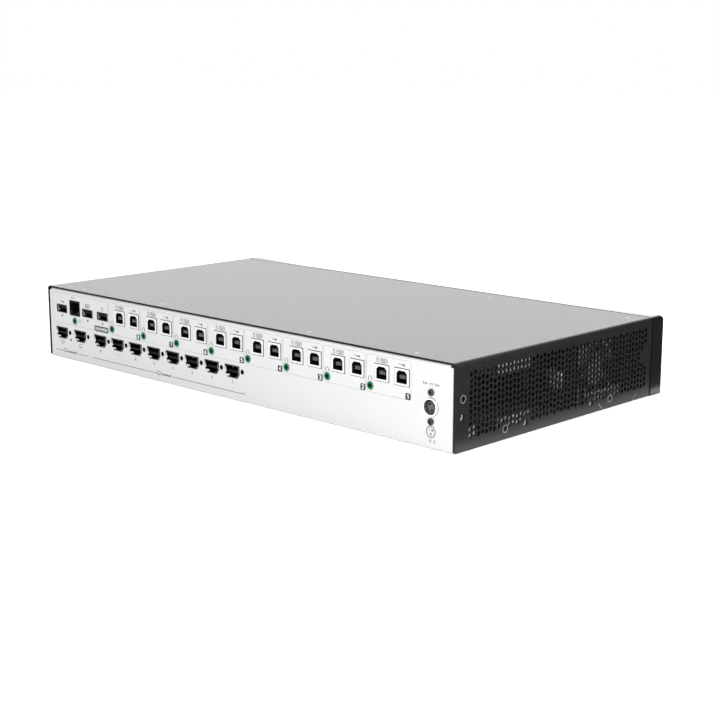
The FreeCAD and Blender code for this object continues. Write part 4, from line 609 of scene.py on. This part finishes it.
def make_looks():
    """Every material of the object, by a short name."""
    return {
        "lid_coat": powder_coat(),
        "panel": panel_coat(),
        "fascia": fascia_plastic(),
        "zinc": bright_metal("zinc_plate", (0.72, 0.73, 0.75), 0.32),
        "nickel": bright_metal("nickel_plate", (0.62, 0.62, 0.625), 0.36),
        "bright_ring": bright_metal("inlet_nickel", (0.93, 0.93, 0.93), 0.36),
        "top_screw": plastic("top_screw_oxide", (0.010, 0.010, 0.010), 0.36),
        "black_nickel": bright_metal("black_nickel", (0.045, 0.045, 0.050), 0.30),
        "brass": bright_metal("nickel_brass", (0.62, 0.55, 0.38), 0.28),
        "gold": bright_metal("contact_gold", (0.40, 0.30, 0.15), 0.30),
        # near-black metal: painted shade on contacts deep in the sockets and jacks
        "painted_shade_contact": bright_metal("contact_in_painted_shade", (0.035, 0.030, 0.024), 0.45),
        "aluminium": bright_metal("bare_aluminium", (0.82, 0.83, 0.84), 0.30, (60.0, 900.0, 900.0)),
        "black_screw": bright_metal("black_oxide", (0.060, 0.060, 0.062), 0.34),
        "black_plastic": plastic("black_plastic", (0.012, 0.012, 0.012), 0.42),
        # near-black plastic that barely reflects: the real black of the tongues and modular socket, and
        # painted shade in socket mouths, the inlet's recess and the lock-nut holes
        "deep_black": plastic("deep_black", (0.003, 0.003, 0.003), 0.60, ior=1.20),
        "dull_zinc": powdery_metal("dull_zinc", (0.34, 0.34, 0.345)),
        "bright_can": powdery_metal("bright_can", (0.90, 0.90, 0.91)),
        # lighter copy of the tray's metal: painted light on the tray's tabs seen through the side holes,
        # and painted glints in the top screws' recesses
        "painted_highlight_zinc": powdery_metal("painted_highlight_zinc", (0.66, 0.66, 0.67)),
        # pale steel: painted light on the video sockets' inner walls
        "painted_light_steel": powdery_metal("painted_light_steel", (0.80, 0.80, 0.81)),
        # pale grey: painted light on the lit corner of the video sockets' rims
        "rim_painted_light": powdery_metal("rim_painted_light", (0.52, 0.52, 0.525)),
        "dark_plastic": plastic("dark_insulator", (0.060, 0.060, 0.061), 0.50, ior=1.35),
        "grey_tongue": plastic("tongue_grey", (0.045, 0.045, 0.045), 0.50, ior=1.35),
        "white_plastic": plastic("header_white", (0.72, 0.71, 0.67), 0.45),
        "green": plastic("jack_green", (0.010, 0.170, 0.060), 0.36, mottling=0.15),
        "fan_grey": plastic("fan_grey", (0.13, 0.13, 0.13), 0.45),
        "key": plastic("key_grey", (0.090, 0.092, 0.095), 0.40),
        "chip": plastic("chip_black", (0.018, 0.018, 0.019), 0.55),
        "led": plastic("led_white", (0.80, 0.79, 0.70), 0.30),
        "lens": frosted_lens(),
        "board": circuit_board(),
        "ribbon": ribbon_cable(),
        "black_wire": insulation("black_wire", (0.015, 0.015, 0.016)),
        # near-black coat that barely reflects: painted shade on sheet edges, hole walls and cut-out walls
        "painted_shade_edge": plastic("edge_painted_shade", (0.004, 0.004, 0.004), 0.65, ior=1.25),
        # pale grey on the pressed arcs: painted highlight
        "painted_mark_highlight": plastic("painted_mark_highlight", (0.15, 0.15, 0.15), 0.42),
        # mid grey: painted highlight round the side screws
        "screw_rim_painted_highlight": plastic("screw_rim_painted_highlight", (0.12, 0.12, 0.12), 0.38),
        "sleeve_black": plastic("can_sleeve", (0.010, 0.010, 0.011), 0.40),
        # dark grey: painted shade on the inside of the tray
        "inner_painted_shade": powdery_metal("inner_painted_shade", (0.22, 0.22, 0.225)),
        # darker green: painted shade down the jack bores
        "painted_shade_green": plastic("jack_bore_painted_shade", (0.004, 0.060, 0.024), 0.5, ior=1.35),
        "grey_ink": ink("grey_ink", (0.12, 0.12, 0.123)),
        "pale_ink": ink("pale_ink", (0.30, 0.30, 0.305)),
        "dark_ink": ink("dark_ink", (0.020, 0.020, 0.022)),
        "light_ink": ink("light_ink", (0.74, 0.74, 0.75)),
    }


# ==================== faces with a look of their own
def case_details(looks):
    """Painted shade on the lid's cut edges and side-hole walls and on the tray's inside and cut-out walls;
    painted highlights on the lid's pressed marks, the tray's tabs and the top screws' recesses; black
    sleeves on the tall cans.
    """
    side_x, _, top_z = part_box("lid")[1]
    tab_depth, recess_depth = 2.0 * MM, 0.82 * MM
    inside_x = side_x - 3.0 * MM
    cutouts_x, cutouts_low, cutouts_high = side_x - 8.0 * MM, 5.0 * MM, 50.0 * MM

    # the lid's rear edges and the walls of its side holes are coloured with painted shade
    def painted_shade_edge(centre, normal):
        in_side = abs(centre.x) > side_x - LID_SHEET and abs(normal.x) < SIDELONG
        return in_side and centre.z < top_z - LID_BEND or normal.y > FACING

    # groove floors of the pressed arcs take a painted highlight
    def pressed_mark(centre, normal):
        return abs(abs(centre.x) - side_x + ARC_MARK_DEPTH) < TOUCH and abs(normal.x) > FACING

    # tab faces behind the lid's side holes take painted light
    def tab_face(centre, normal):
        return abs(centre.x) > side_x - tab_depth and abs(normal.x) > FACING

    # faces inside the tray take painted shade
    def inner_face(centre, normal):
        behind_panel = centre.y < PANEL_Y - TRAY_SHEET + TOUCH
        above_floor = centre.z > TRAY_SHEET - TOUCH
        return behind_panel and above_floor and abs(centre.x) < inside_x

    # recess walls of the top screws take a painted glint
    def recess_wall(centre, normal):
        return top_z - recess_depth < centre.z < top_z - TOUCH and abs(normal.z) < UPRIGHT

    # the walls of the panel's socket cut-outs are coloured with painted shade
    def cutout_edge(centre, normal):
        in_sheet = PANEL_Y - TRAY_SHEET < centre.y < PANEL_Y and abs(normal.y) < SIDELONG
        return in_sheet and abs(centre.x) < cutouts_x and cutouts_low < centre.z < cutouts_high

    def sleeved_can(centre, normal):
        return centre.x > TALL_CANS_X

    dress_where("lid", looks["painted_shade_edge"], painted_shade_edge)
    dress_where("lid", looks["painted_mark_highlight"], pressed_mark)
    dress_where("base_tray", looks["painted_highlight_zinc"], tab_face)
    dress_where("base_tray", looks["inner_painted_shade"], inner_face)
    dress_where("base_tray", looks["painted_shade_edge"], cutout_edge)
    dress_where("lid_top_screws", looks["painted_highlight_zinc"], recess_wall)
    dress_where("capacitors", looks["sleeve_black"], sleeved_can)


def line_jacks(looks):
    """Darker green down each jack's bore: painted shade."""
    bores = jack_xs()
    bore_radius = 1.85 * MM

    def in_bore(centre, normal):
        radii = [math.hypot(centre.x - x, centre.z - JACK_Z) for x in bores]
        return min(radii) < bore_radius and abs(normal.y) < SIDELONG

    dress_where("audio_jacks", looks["painted_shade_green"], in_bore)


def line_inlet(looks):
    """Painted shade: black round the power inlet's paler nose and on the walls of its recess."""
    inlet = centre_of("power_inlet_insulator")

    def beside_nose(centre, normal):
        radius = math.hypot(centre.x - inlet.x, centre.z - inlet.z)
        return radius > INLET_NOSE_RADIUS - TOUCH or abs(normal.y) < SIDELONG

    dress_where("power_inlet_insulator", looks["deep_black"], beside_nose)


def line_usb_b(node, looks):
    """Painted shade: near-black inside of a pair's two mouths."""
    low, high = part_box(node)
    skin, mouth_half = 1.2 * MM, 4.5 * MM
    middle = centre_of(node).x

    def in_mouth(centre, normal):
        inside_z = low[2] + skin < centre.z < high[2] - skin
        from_axis = abs(abs(centre.x - middle) - USB_B_OFFSET)
        return inside_z and centre.y < high[1] - TOUCH and from_axis < mouth_half

    dress_where(node, looks["deep_black"], in_mouth)


def line_usb_a(node, looks):
    """Painted shade: near-black inside of a mouth; and a darker plate on the front of the flange round it.
    """
    low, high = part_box(node)
    side_margin, top_margin = 0.3 * MM, 0.1 * MM

    def inside(centre, normal):
        across = low[0] + side_margin < centre.x < high[0] - side_margin
        level = high[2] - USB_A_HEIGHT + top_margin < centre.z < high[2] - top_margin
        return across and level and centre.y < high[1] - TOUCH

    def front_plate(centre, normal):
        return normal.y > FACING and not inside(centre, normal)

    dress_where(node, looks["deep_black"], inside)
    dress_where(node, looks["black_nickel"], front_plate)


def socket_linings(looks):
    """Painted shade in the sockets' mouths, the jack bores and round the inlet's nose."""
    for channel in range(1, CHANNELS + 1):
        line_usb_b("usb_b_sockets_%d" % channel, looks)
    for node in USB_A_SOCKETS:
        line_usb_a(node, looks)
    line_jacks(looks)
    line_inlet(looks)


# ==================== printed marks
def channel_places():
    """Middle of each channel's USB-B pair, as (channel, x)."""
    return [(c, centre_of("usb_b_sockets_%d" % c).x) for c in range(1, CHANNELS + 1)]


def printed_outlines(looks):
    """Fine rounded frames round each channel's sockets and round the console's."""
    bm = bmesh.new()
    for _, x in channel_places():
        middle = x + CHANNEL_OUTLINE_SHIFT
        half = CHANNEL_OUTLINE_WIDTH / 2
        frame_points = rounded_rectangle(middle - half, middle + half, *CHANNEL_OUTLINE_Z, OUTLINE_CORNER)
        ink_stroke(bm, frame_points, OUTLINE_WIDTH, closed=True)
    console = rounded_rectangle(*CONSOLE_OUTLINE_X, *CONSOLE_OUTLINE_Z, OUTLINE_CORNER)
    ink_stroke(bm, console, OUTLINE_WIDTH, closed=True)
    piece("printed_outlines", bm, looks["pale_ink"])


def digit(bm, number, x, z, size, line, lift=0.0):
    """Digit seen from behind the case, so its left side is towards +X."""
    width, height = size
    for points in DIGIT_STROKES[number]:
        placed = [(x + width / 2 - u / 2 * width, z - height / 2 + v / 4 * height) for u, v in points]
        ink_stroke(bm, placed, line, lift=lift)


def printed_numbers(looks):
    """Dark number plates at the channel frames, and plain numbers under the video inputs."""
    plates = bmesh.new()
    numbers = bmesh.new()
    small = bmesh.new()
    width, height = NUMBER_BOX
    low = CHANNEL_OUTLINE_Z[0]
    for channel, x in channel_places():
        edge = x + CHANNEL_OUTLINE_SHIFT - CHANNEL_OUTLINE_WIDTH / 2 + NUMBER_BOX_INSET
        plate = rounded_rectangle(edge, edge + width, low, low + height, NUMBER_BOX_CORNER)
        ink_plate(plates, plate, lift=INK_THICKNESS)
        digit(numbers, channel, edge + width / 2, low + height / 2, NUMBER_SIZE, NUMBER_LINE,
              lift=2 * INK_THICKNESS)
    for channel, x in video_input_places():
        digit(small, channel, x, VIDEO_MARK_Z, SMALL_NUMBER_SIZE, FINE_LINE)
    piece("printed_number_plates", plates, looks["dark_ink"])
    piece("printed_channel_numbers", numbers, looks["light_ink"])
    piece("printed_input_numbers", small, looks["dark_ink"])


def video_input_places():
    """Middle of each video input as (channel, x); channel 1 is nearest the power inlet."""
    first_low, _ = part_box("video_input_sockets_1_4")
    _, last_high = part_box("video_input_sockets_5_8")
    start = first_low[0] + VIDEO_HALF_WIDTH
    pitch = (last_high[0] - VIDEO_HALF_WIDTH - start) / (CHANNELS - 1)
    return [(c, start + pitch * (c - 1)) for c in range(1, CHANNELS + 1)]


def mouse_icon(bm, x, z):
    """Small mouse with a split button and a short lead, 3 mm tall."""
    body = rounded_rectangle(x - 0.9 * MM, x + 0.9 * MM, z - 1.4 * MM, z + 1.0 * MM, 0.8 * MM)
    ink_stroke(bm, body, FINE_LINE, closed=True)
    ink_stroke(bm, near(x, z, (0.0, 0.9), (0.0, 0.1)), FINE_LINE)
    ink_stroke(bm, near(x, z, (0.0, 1.1), (0.2, 1.5), (0.9, 1.6)), FINE_LINE)


def keyboard_icon(bm, x, z):
    """Keyboard outline with two rows of keys and a space bar, 5.8 mm wide."""
    case = rounded_rectangle(x - 2.9 * MM, x + 2.9 * MM, z - 1.4 * MM, z + 1.3 * MM, 0.4 * MM)
    ink_stroke(bm, case, FINE_LINE, closed=True)
    columns, key_pitch, key_half = 6, 0.85 * MM, 0.26
    for row_z in (0.55, -0.15):
        for column in range(columns):
            key_x = x + (column - (columns - 1) / 2) * key_pitch
            ink_plate(bm, box_near(key_x, z + row_z * MM, -key_half, key_half, -key_half, key_half))
    ink_plate(bm, box_near(x, z, -1.5, 1.5, -1.05, -0.65))


def plug_icon(bm, x, z):
    """Plain plug on a lead."""
    ink_plate(bm, box_near(x, z, -2.4, -0.9, -0.75, 0.75))
    ink_plate(bm, box_near(x, z, -0.9, -0.2, -0.45, 0.45))
    ink_stroke(bm, near(x, z, (-0.2, 0.0), (1.2, 0.0), (2.4, 0.8)), ICON_LINE)


def headphone_icon(bm, x, z):
    """Headband and two ear pads."""
    ink_stroke(bm, arc_points((x, z), 1.45 * MM, 0.0, 180.0, 12), ICON_LINE)
    for side in (-1, 1):
        ink_plate(bm, box_near(x + side * 1.35 * MM, z, -0.35, 0.35, -1.1, 0.1))


def screen_icon(bm, x, z):
    """Monitor on its foot."""
    ink_stroke(bm, box_near(x, z, -1.9, 1.9, -0.8, 1.4), FINE_LINE, closed=True)
    ink_plate(bm, box_near(x, z, -1.1, 1.1, -1.5, -1.15))


def arrow_icon(bm, x, z):
    """Short shaft with its head towards +X."""
    ink_stroke(bm, near(x, z, (0.0, 0.0), (-3.6, 0.0)), ICON_LINE)
    ink_plate(bm, near(x, z, (0.0, -0.7), (1.1, 0.0), (0.0, 0.7)))


def word_bar(bm, low_x, high_x, z, height=1.3 * MM):
    """Row of plain upright blocks that stands in for a printed word; every fourth is taller."""
    width, gap, rise = 0.75 * MM, 0.5 * MM, 0.45 * MM
    x = high_x
    index = 0
    while x - width > low_x:
        top = z + height / 2 + (rise if index % 4 == 0 else 0.0)
        ink_plate(bm, rectangle(x - width, x, z - height / 2, top))
        x -= width + gap
        index += 1


def printed_icons(looks):
    """Pictograms over the sockets; each is a plain drawing of the device."""
    bm = bmesh.new()
    channel_icons = ((mouse_icon, CHANNEL_MOUSE), (keyboard_icon, CHANNEL_KEYBOARD),
                     (plug_icon, CHANNEL_PLUG), (headphone_icon, CHANNEL_HEADPHONES))
    for _, x in channel_places():
        for draw, (offset, z) in channel_icons:
            draw(bm, x + offset, z)
    plug_icon(bm, *CONSOLE_PLUG)
    keyboard_icon(bm, *CONSOLE_KEYBOARD)
    mouse_icon(bm, *CONSOLE_MOUSE)
    arrow_icon(bm, *OPTIONS_ARROW)
    headphone_icon(bm, *CONSOLE_HEADPHONES)
    for x in OUTPUT_SCREENS_X:
        screen_icon(bm, x, VIDEO_MARK_Z)
    piece("printed_icons", bm, looks["grey_ink"])


def printed_ticks(looks):
    """Small dark marks under the console's USB-A sockets and between the outputs."""
    bm = bmesh.new()
    for node in USB_A_SOCKETS:
        ink_plate(bm, near(centre_of(node).x, USB_A_TICK_Z, (-1.4, 0.0), (1.4, 0.0), (0.0, -1.6)))
    ink_plate(bm, circle_points(OUTPUT_DOT, OUTPUT_DOT_RADIUS, 24))
    piece("printed_ticks", bm, looks["dark_ink"])


def printed_brackets(looks):
    """Fine lines that gather the outputs and the inputs, broken by a pictogram each."""
    bm = bmesh.new()
    for low, high in BRACKET_LINES:
        ink_stroke(bm, near(0.0, BRACKET_Z, (low, 0.0), (high, 0.0)), FINE_LINE)
    ink_stroke(bm, near(0.0, BRACKET_Z, *BRACKET_HOOK), FINE_LINE)
    for screen_x, low, high in BRACKET_MARKS:
        screen_icon(bm, screen_x * MM, BRACKET_Z + 0.4 * MM)
        word_bar(bm, low * MM, high * MM, BRACKET_Z)
    piece("printed_brackets", bm, looks["dark_ink"])


def printed_console_label(looks):
    """Double outlined plate under the console sockets, with plain blocks inside."""
    (low_x, high_x), (low_z, high_z) = CONSOLE_LABEL_X, CONSOLE_LABEL_Z
    corner, band, step = 0.8 * MM, 0.95 * MM, 1.0 * MM
    outer = rounded_rectangle(low_x, high_x, low_z, high_z, corner)
    inner = rectangle(low_x + step, high_x - step, low_z + step, high_z - step)
    bm = bmesh.new()
    ink_stroke(bm, outer, band, closed=True, lift=INK_THICKNESS)
    ink_stroke(bm, inner, OUTLINE_WIDTH, closed=True, lift=INK_THICKNESS)
    piece("printed_console_label", bm, looks["dark_ink"])

    word_margin, word_height = 3.0 * MM, 0.6 * MM
    word_z = (low_z + high_z) / 2 - 0.1 * MM
    bm = bmesh.new()
    word_bar(bm, low_x + word_margin, high_x - word_margin, word_z, word_height)
    piece("printed_console_word", bm, looks["pale_ink"])


def current_sign(bm, x, z):
    """Direct-current sign, a line over three dashes, with a stand-in word on each side."""
    ink_stroke(bm, near(x, z, (1.6, 0.35), (-1.6, 0.35)), FINE_LINE)
    for dash_x in (-1.2, 0.0, 1.2):
        ink_stroke(bm, near(x + dash_x * MM, z, (0.35, -0.45), (-0.35, -0.45)), FINE_LINE)
    word_bar(bm, x + 2.4 * MM, x + 6.6 * MM, z)
    word_bar(bm, x - 6.6 * MM, x - 3.0 * MM, z)


def pin_drawing(bm, x, z):
    """Plain socket's face, two rings round three dots, with two small rings below it."""
    for radius, line in ((3.7, 0.55), (2.9, 0.30)):
        ink_stroke(bm, circle_points((x, z), radius * MM, 36), line * MM, closed=True)
    for dx, dz, radius in ((-1.1, 1.1, 0.85), (1.1, 1.1, 0.50), (0.0, -1.3, 0.80)):
        ink_plate(bm, circle_points((x + dx * MM, z + dz * MM), radius * MM, 16))
    for dx in (0.5, -2.9):
        small_ring = circle_points((x + dx * MM, z - 5.8 * MM), 0.8 * MM, 16)
        ink_stroke(bm, small_ring, FINE_LINE, closed=True)


def printed_power_marks(looks):
    """Direct-current sign over the inlet and the pin drawing under it."""
    bm = bmesh.new()
    x = centre_of("power_inlet_shell").x
    current_sign(bm, x, CURRENT_SIGN_Z)
    pin_drawing(bm, x, PIN_DRAWING_Z)
    piece("printed_power_marks", bm, looks["grey_ink"])


# ==================== small metal inside the sockets
def contact_strips(bm, xs, half_width, ends_y, heights, thickness):
    """Flat contacts of one thickness, on each of the given heights and between two Y planes."""
    for x in xs:
        for z in heights:
            block(bm, (x - half_width, ends_y[0], z), (x + half_width, ends_y[1], z + thickness))


def usb_b_contacts(looks):
    """Two gold strips above and two below each USB-B tongue."""
    low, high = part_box("usb_b_tongues")
    half_width, thickness, from_middle = 0.5 * MM, 0.12 * MM, 1.25 * MM
    ends_y = (high[1] - 7.5 * MM, high[1] - 1.5 * MM)
    xs = [x + side * USB_B_OFFSET + strip * from_middle
          for _, x in channel_places() for side in (1, -1) for strip in (-1, 1)]
    bm = bmesh.new()
    contact_strips(bm, xs, half_width, ends_y, (low[2] - thickness, high[2]), thickness)
    piece("usb_b_contacts", bm, looks["gold"])


def usb_a_contacts(looks):
    """Four gold strips under each USB-A tongue."""
    low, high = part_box("usb_a_tongues")
    half_width, thickness = 0.5 * MM, 0.15 * MM
    ends_y = (high[1] - 8.0 * MM, high[1] - 0.8 * MM)
    xs = [centre_of(node).x + offset * MM for node in USB_A_SOCKETS for offset in (-3.5, -1.0, 1.0, 3.5)]
    bm = bmesh.new()
    contact_strips(bm, xs, half_width, ends_y, (low[2] - thickness,), thickness)
    piece("usb_a_contacts", bm, looks["gold"])


def options_contacts(looks):
    """Eight sprung wires that slope down from the top of the modular socket."""
    low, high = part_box("options_socket")
    middle = (low[0] + high[0]) / 2
    mouth_top = high[2] - 1.2 * MM
    front_y = high[1] - 2.0 * MM
    profile = [(front_y - 10.0 * MM, mouth_top - 3.6 * MM), (front_y - 1.5 * MM, mouth_top - 0.5 * MM),
               (front_y, mouth_top - 0.1 * MM)]
    wires, pitch, half_width, thickness = 8, 1.02 * MM, 0.2 * MM, 0.35 * MM
    bm = bmesh.new()
    for index in range(wires):
        x = middle + (index - (wires - 1) / 2) * pitch
        bent_strip(bm, x - half_width, x + half_width, profile, thickness)
    piece("options_contacts", bm, looks["gold"])


def video_xs():
    """Middle of each video socket: the two outputs, then the inputs."""
    low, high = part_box("video_output_sockets")
    outputs = [low[0] + VIDEO_HALF_WIDTH, high[0] - VIDEO_HALF_WIDTH]
    return outputs + [x for _, x in video_input_places()]


def video_springs(looks):
    """Two sprung fingers in the roof of each video socket."""
    _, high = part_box("video_output_sockets")
    face_y, roof = high[1], high[2] - VIDEO_SKIN
    dip = roof - 1.4 * MM
    profile = [(face_y - 8.5 * MM, roof), (face_y - 4.2 * MM, dip), (face_y - 3.5 * MM, dip),
               (face_y - 2.8 * MM, roof - 0.5 * MM)]
    from_middle, half_width, thickness = 2.6 * MM, 0.35 * MM, 0.2 * MM
    bm = bmesh.new()
    for x in video_xs():
        for side in (-1, 1):
            middle = x + side * from_middle
            bent_strip(bm, middle - half_width, middle + half_width, profile, thickness)
    piece("video_springs", bm, looks["dull_zinc"])


def video_wall_painted_light(looks):
    """Painted light: bright strips down each video socket's side walls and across its lower corners,
    deeper towards the floor, where the key light falls on the walls.
    """
    low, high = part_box("video_output_sockets")
    run, rise = VIDEO_CORNER
    top, corner, floor = high[2] - 1.2 * MM, low[2] + rise, low[2] + VIDEO_SKIN + 0.1 * MM
    clearance, thickness, set_back = 0.02 * MM, 0.15 * MM, 0.05 * MM
    wall_half = VIDEO_HALF_WIDTH - VIDEO_SKIN - clearance
    depths = (0.1 * MM, 1.3 * MM, 2.4 * MM)    # at the top, the corner and the floor
    bm = bmesh.new()
    for x in video_xs():
        for side in (-1, 1):
            wall = x + side * wall_half
            path = ((wall, top), (wall, corner), (wall - side * run, floor))
            painted_light_strip(bm, path, depths, high[1] - set_back, -side * thickness)
    piece("video_wall_painted_light", bm, looks["painted_light_steel"])


def video_rim_painted_light(looks):
    """Painted light: pale strip round the +X lower corner of each video socket's mouth, where light falls
    on the rim.
    """
    low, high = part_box("video_output_sockets")
    run, rise = VIDEO_CORNER
    overhang, width = 0.3 * MM, 0.95 * MM
    depth, front_y = 0.3 * MM, high[1] + 0.03 * MM
    corner = low[2] + rise
    bm = bmesh.new()
    for x in video_xs():
        edge = x + VIDEO_HALF_WIDTH + overhang
        path = ((edge, corner + 2.0 * MM), (edge, corner), (edge - run, low[2] - overhang))
        painted_light_strip(bm, path, (depth,) * len(path), front_y, -width)
    piece("video_rim_painted_light", bm, looks["rim_painted_light"])


def usb_a_wall_painted_light(looks):
    """Painted light: bright strips just inside both side walls of each USB-A socket, near the mouth, where
    the walls catch light.
    """
    set_back, margin = 0.7 * MM, 0.8 * MM
    clearance, thickness = 0.02 * MM, 0.12 * MM
    depths = (1.3 * MM, 1.9 * MM)
    bm = bmesh.new()
    for node in USB_A_SOCKETS:
        low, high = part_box(node)
        for wall, inward in ((low[0], 1), (high[0], -1)):
            x = wall + inward * (USB_A_SKIN + clearance)
            path = ((x, high[2] - margin), (x, high[2] - USB_A_HEIGHT + margin))
            painted_light_strip(bm, path, depths, high[1] - set_back, inward * thickness)
    piece("usb_a_wall_painted_light", bm, looks["dull_zinc"])


def video_contacts(looks):
    """Fine contacts over and under each video tongue, near-black as painted shade deep in the socket."""
    low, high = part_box("video_tongues")
    count, pitch, half_width, thickness = 10, 1.0 * MM, 0.2 * MM, 0.08 * MM
    ends_y = (high[1] - 6.0 * MM, high[1] - 2.5 * MM)
    xs = [x + (index - (count - 1) / 2) * pitch for x in video_xs() for index in range(count)]
    bm = bmesh.new()
    contact_strips(bm, xs, half_width, ends_y, (low[2] - thickness, high[2]), thickness)
    piece("video_contacts", bm, looks["painted_shade_contact"])


def jack_xs():
    """Middle of each audio jack: the console's, then the channels'."""
    _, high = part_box("audio_jacks")
    return [high[0] - JACK_HALF_WIDTH] + [x + JACK_OFFSET for _, x in channel_places()]


def jack_sleeves(looks):
    """Metal sleeve deep in each audio jack, near-black as painted shade."""
    _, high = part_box("audio_jacks")
    outer, inner = 1.79 * MM, 1.55 * MM
    bm = bmesh.new()
    for x in jack_xs():
        ring_along_y(bm, (x, JACK_Z), outer, inner, high[1] - 9.0 * MM, high[1] - 4.5 * MM)
    piece("jack_sleeves", bm, looks["painted_shade_contact"])


def side_screw_painted_highlights(looks):
    """Painted highlight: pale ring round each countersunk screw in the lid's sides."""
    side_x, rear_y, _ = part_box("lid")[1]
    sunk, proud = 0.1 * MM, 0.04 * MM
    bm = bmesh.new()
    for setback, z in SIDE_SCREWS:
        centre = (rear_y - setback * MM, z * MM)
        for side in (-1, 1):
            ring_along_x(bm, centre, SCREW_RIM_RADIUS, SCREW_RIM_RADIUS - SCREW_RIM_WIDTH,
                         side * (side_x - sunk), side * (side_x + proud))
    piece("side_screw_painted_highlights", bm, looks["screw_rim_painted_highlight"])


# ==================== studio
def add_area_light(name, place, aim, size, power):
    light = bpy.data.lights.new(name, "AREA")
    light.shape = "RECTANGLE"
    light.size, light.size_y = size
    light.energy = power
    obj = bpy.data.objects.new(name, light)
    obj.location = place
    obj.rotation_euler = (Vector(aim) - Vector(place)).to_track_quat("-Z", "Y").to_euler()
    obj.visible_camera = False
    bpy.context.scene.collection.objects.link(obj)


def floor_material():
    """White paper that glows a little, so that it stays bright round the case."""
    g = Graph("studio_floor")
    g.colour(g.mottle(3.0, 3.0, (0.90, 0.90, 0.90), (0.93, 0.93, 0.93)))
    g.rough(g.spread(g.noise(40.0), 0.7, 0.8))
    g.set(Metallic=0.0, Emission_Color=(1.0, 1.0, 1.0, 1.0), Emission_Strength=FLOOR_GLOW)
    return g.material


def studio_floor():
    bm = bmesh.new()
    bmesh.ops.create_grid(bm, x_segments=2, y_segments=2, size=FLOOR_HALF_SIZE)
    floor = new_object("studio_floor", bm, floor_material())
    floor.location = (0, 0, -FLOOR_DROP)


def white_surroundings():
    world = bpy.data.worlds.new("studio")
    world.use_nodes = True
    background = world.node_tree.nodes["Background"]
    background.inputs["Color"].default_value = (1.0, 1.0, 1.0, 1.0)
    background.inputs["Strength"].default_value = 1.0
    bpy.context.scene.world = world


def dark_cloth():
    """Dark sheets that only reflections see; they keep the case's near side black."""
    bm = bmesh.new()
    for low, high in DARK_CLOTHS:
        block(bm, low, high)
    cloth = new_object("dark_cloth", bm, plastic("dark_cloth", (0.02, 0.02, 0.02), 0.9))
    for ray in ("camera", "diffuse", "shadow", "transmission", "volume_scatter"):
        setattr(cloth, "visible_" + ray, False)


def studio():
    """Pale floor, white surroundings, soft lights and the dark cloth."""
    studio_floor()
    white_surroundings()
    for light in AREA_LIGHTS:
        add_area_light(*light)
    dark_cloth()


def camera():
    data = bpy.data.cameras.new("camera")
    data.lens = CAMERA_LENS
    data.sensor_width = CAMERA_SENSOR
    data.clip_start = CAMERA_NEAR_CLIP
    obj = bpy.data.objects.new("camera", data)
    obj.location = CAMERA_PLACE
    obj.rotation_euler = Vector(CAMERA_DIRECTION).to_track_quat("-Z", "Y").to_euler()
    bpy.context.scene.collection.objects.link(obj)
    bpy.context.scene.camera = obj


# ==================== whole scene
def main():
    """Camera and studio first, then the looks and every visual piece."""
    bpy.context.scene.view_settings.view_transform = "Standard"
    camera()
    studio()
    looks = make_looks()
    dress_nodes(looks)
    case_details(looks)
    socket_linings(looks)
    for make in (printed_outlines, printed_numbers, printed_icons, printed_ticks, printed_brackets,
                 printed_console_label, printed_power_marks, usb_b_contacts, usb_a_contacts,
                 options_contacts, video_springs, video_wall_painted_light, video_rim_painted_light, usb_a_wall_painted_light, video_contacts,
                 jack_sleeves, side_screw_painted_highlights):
        make(looks)


main()
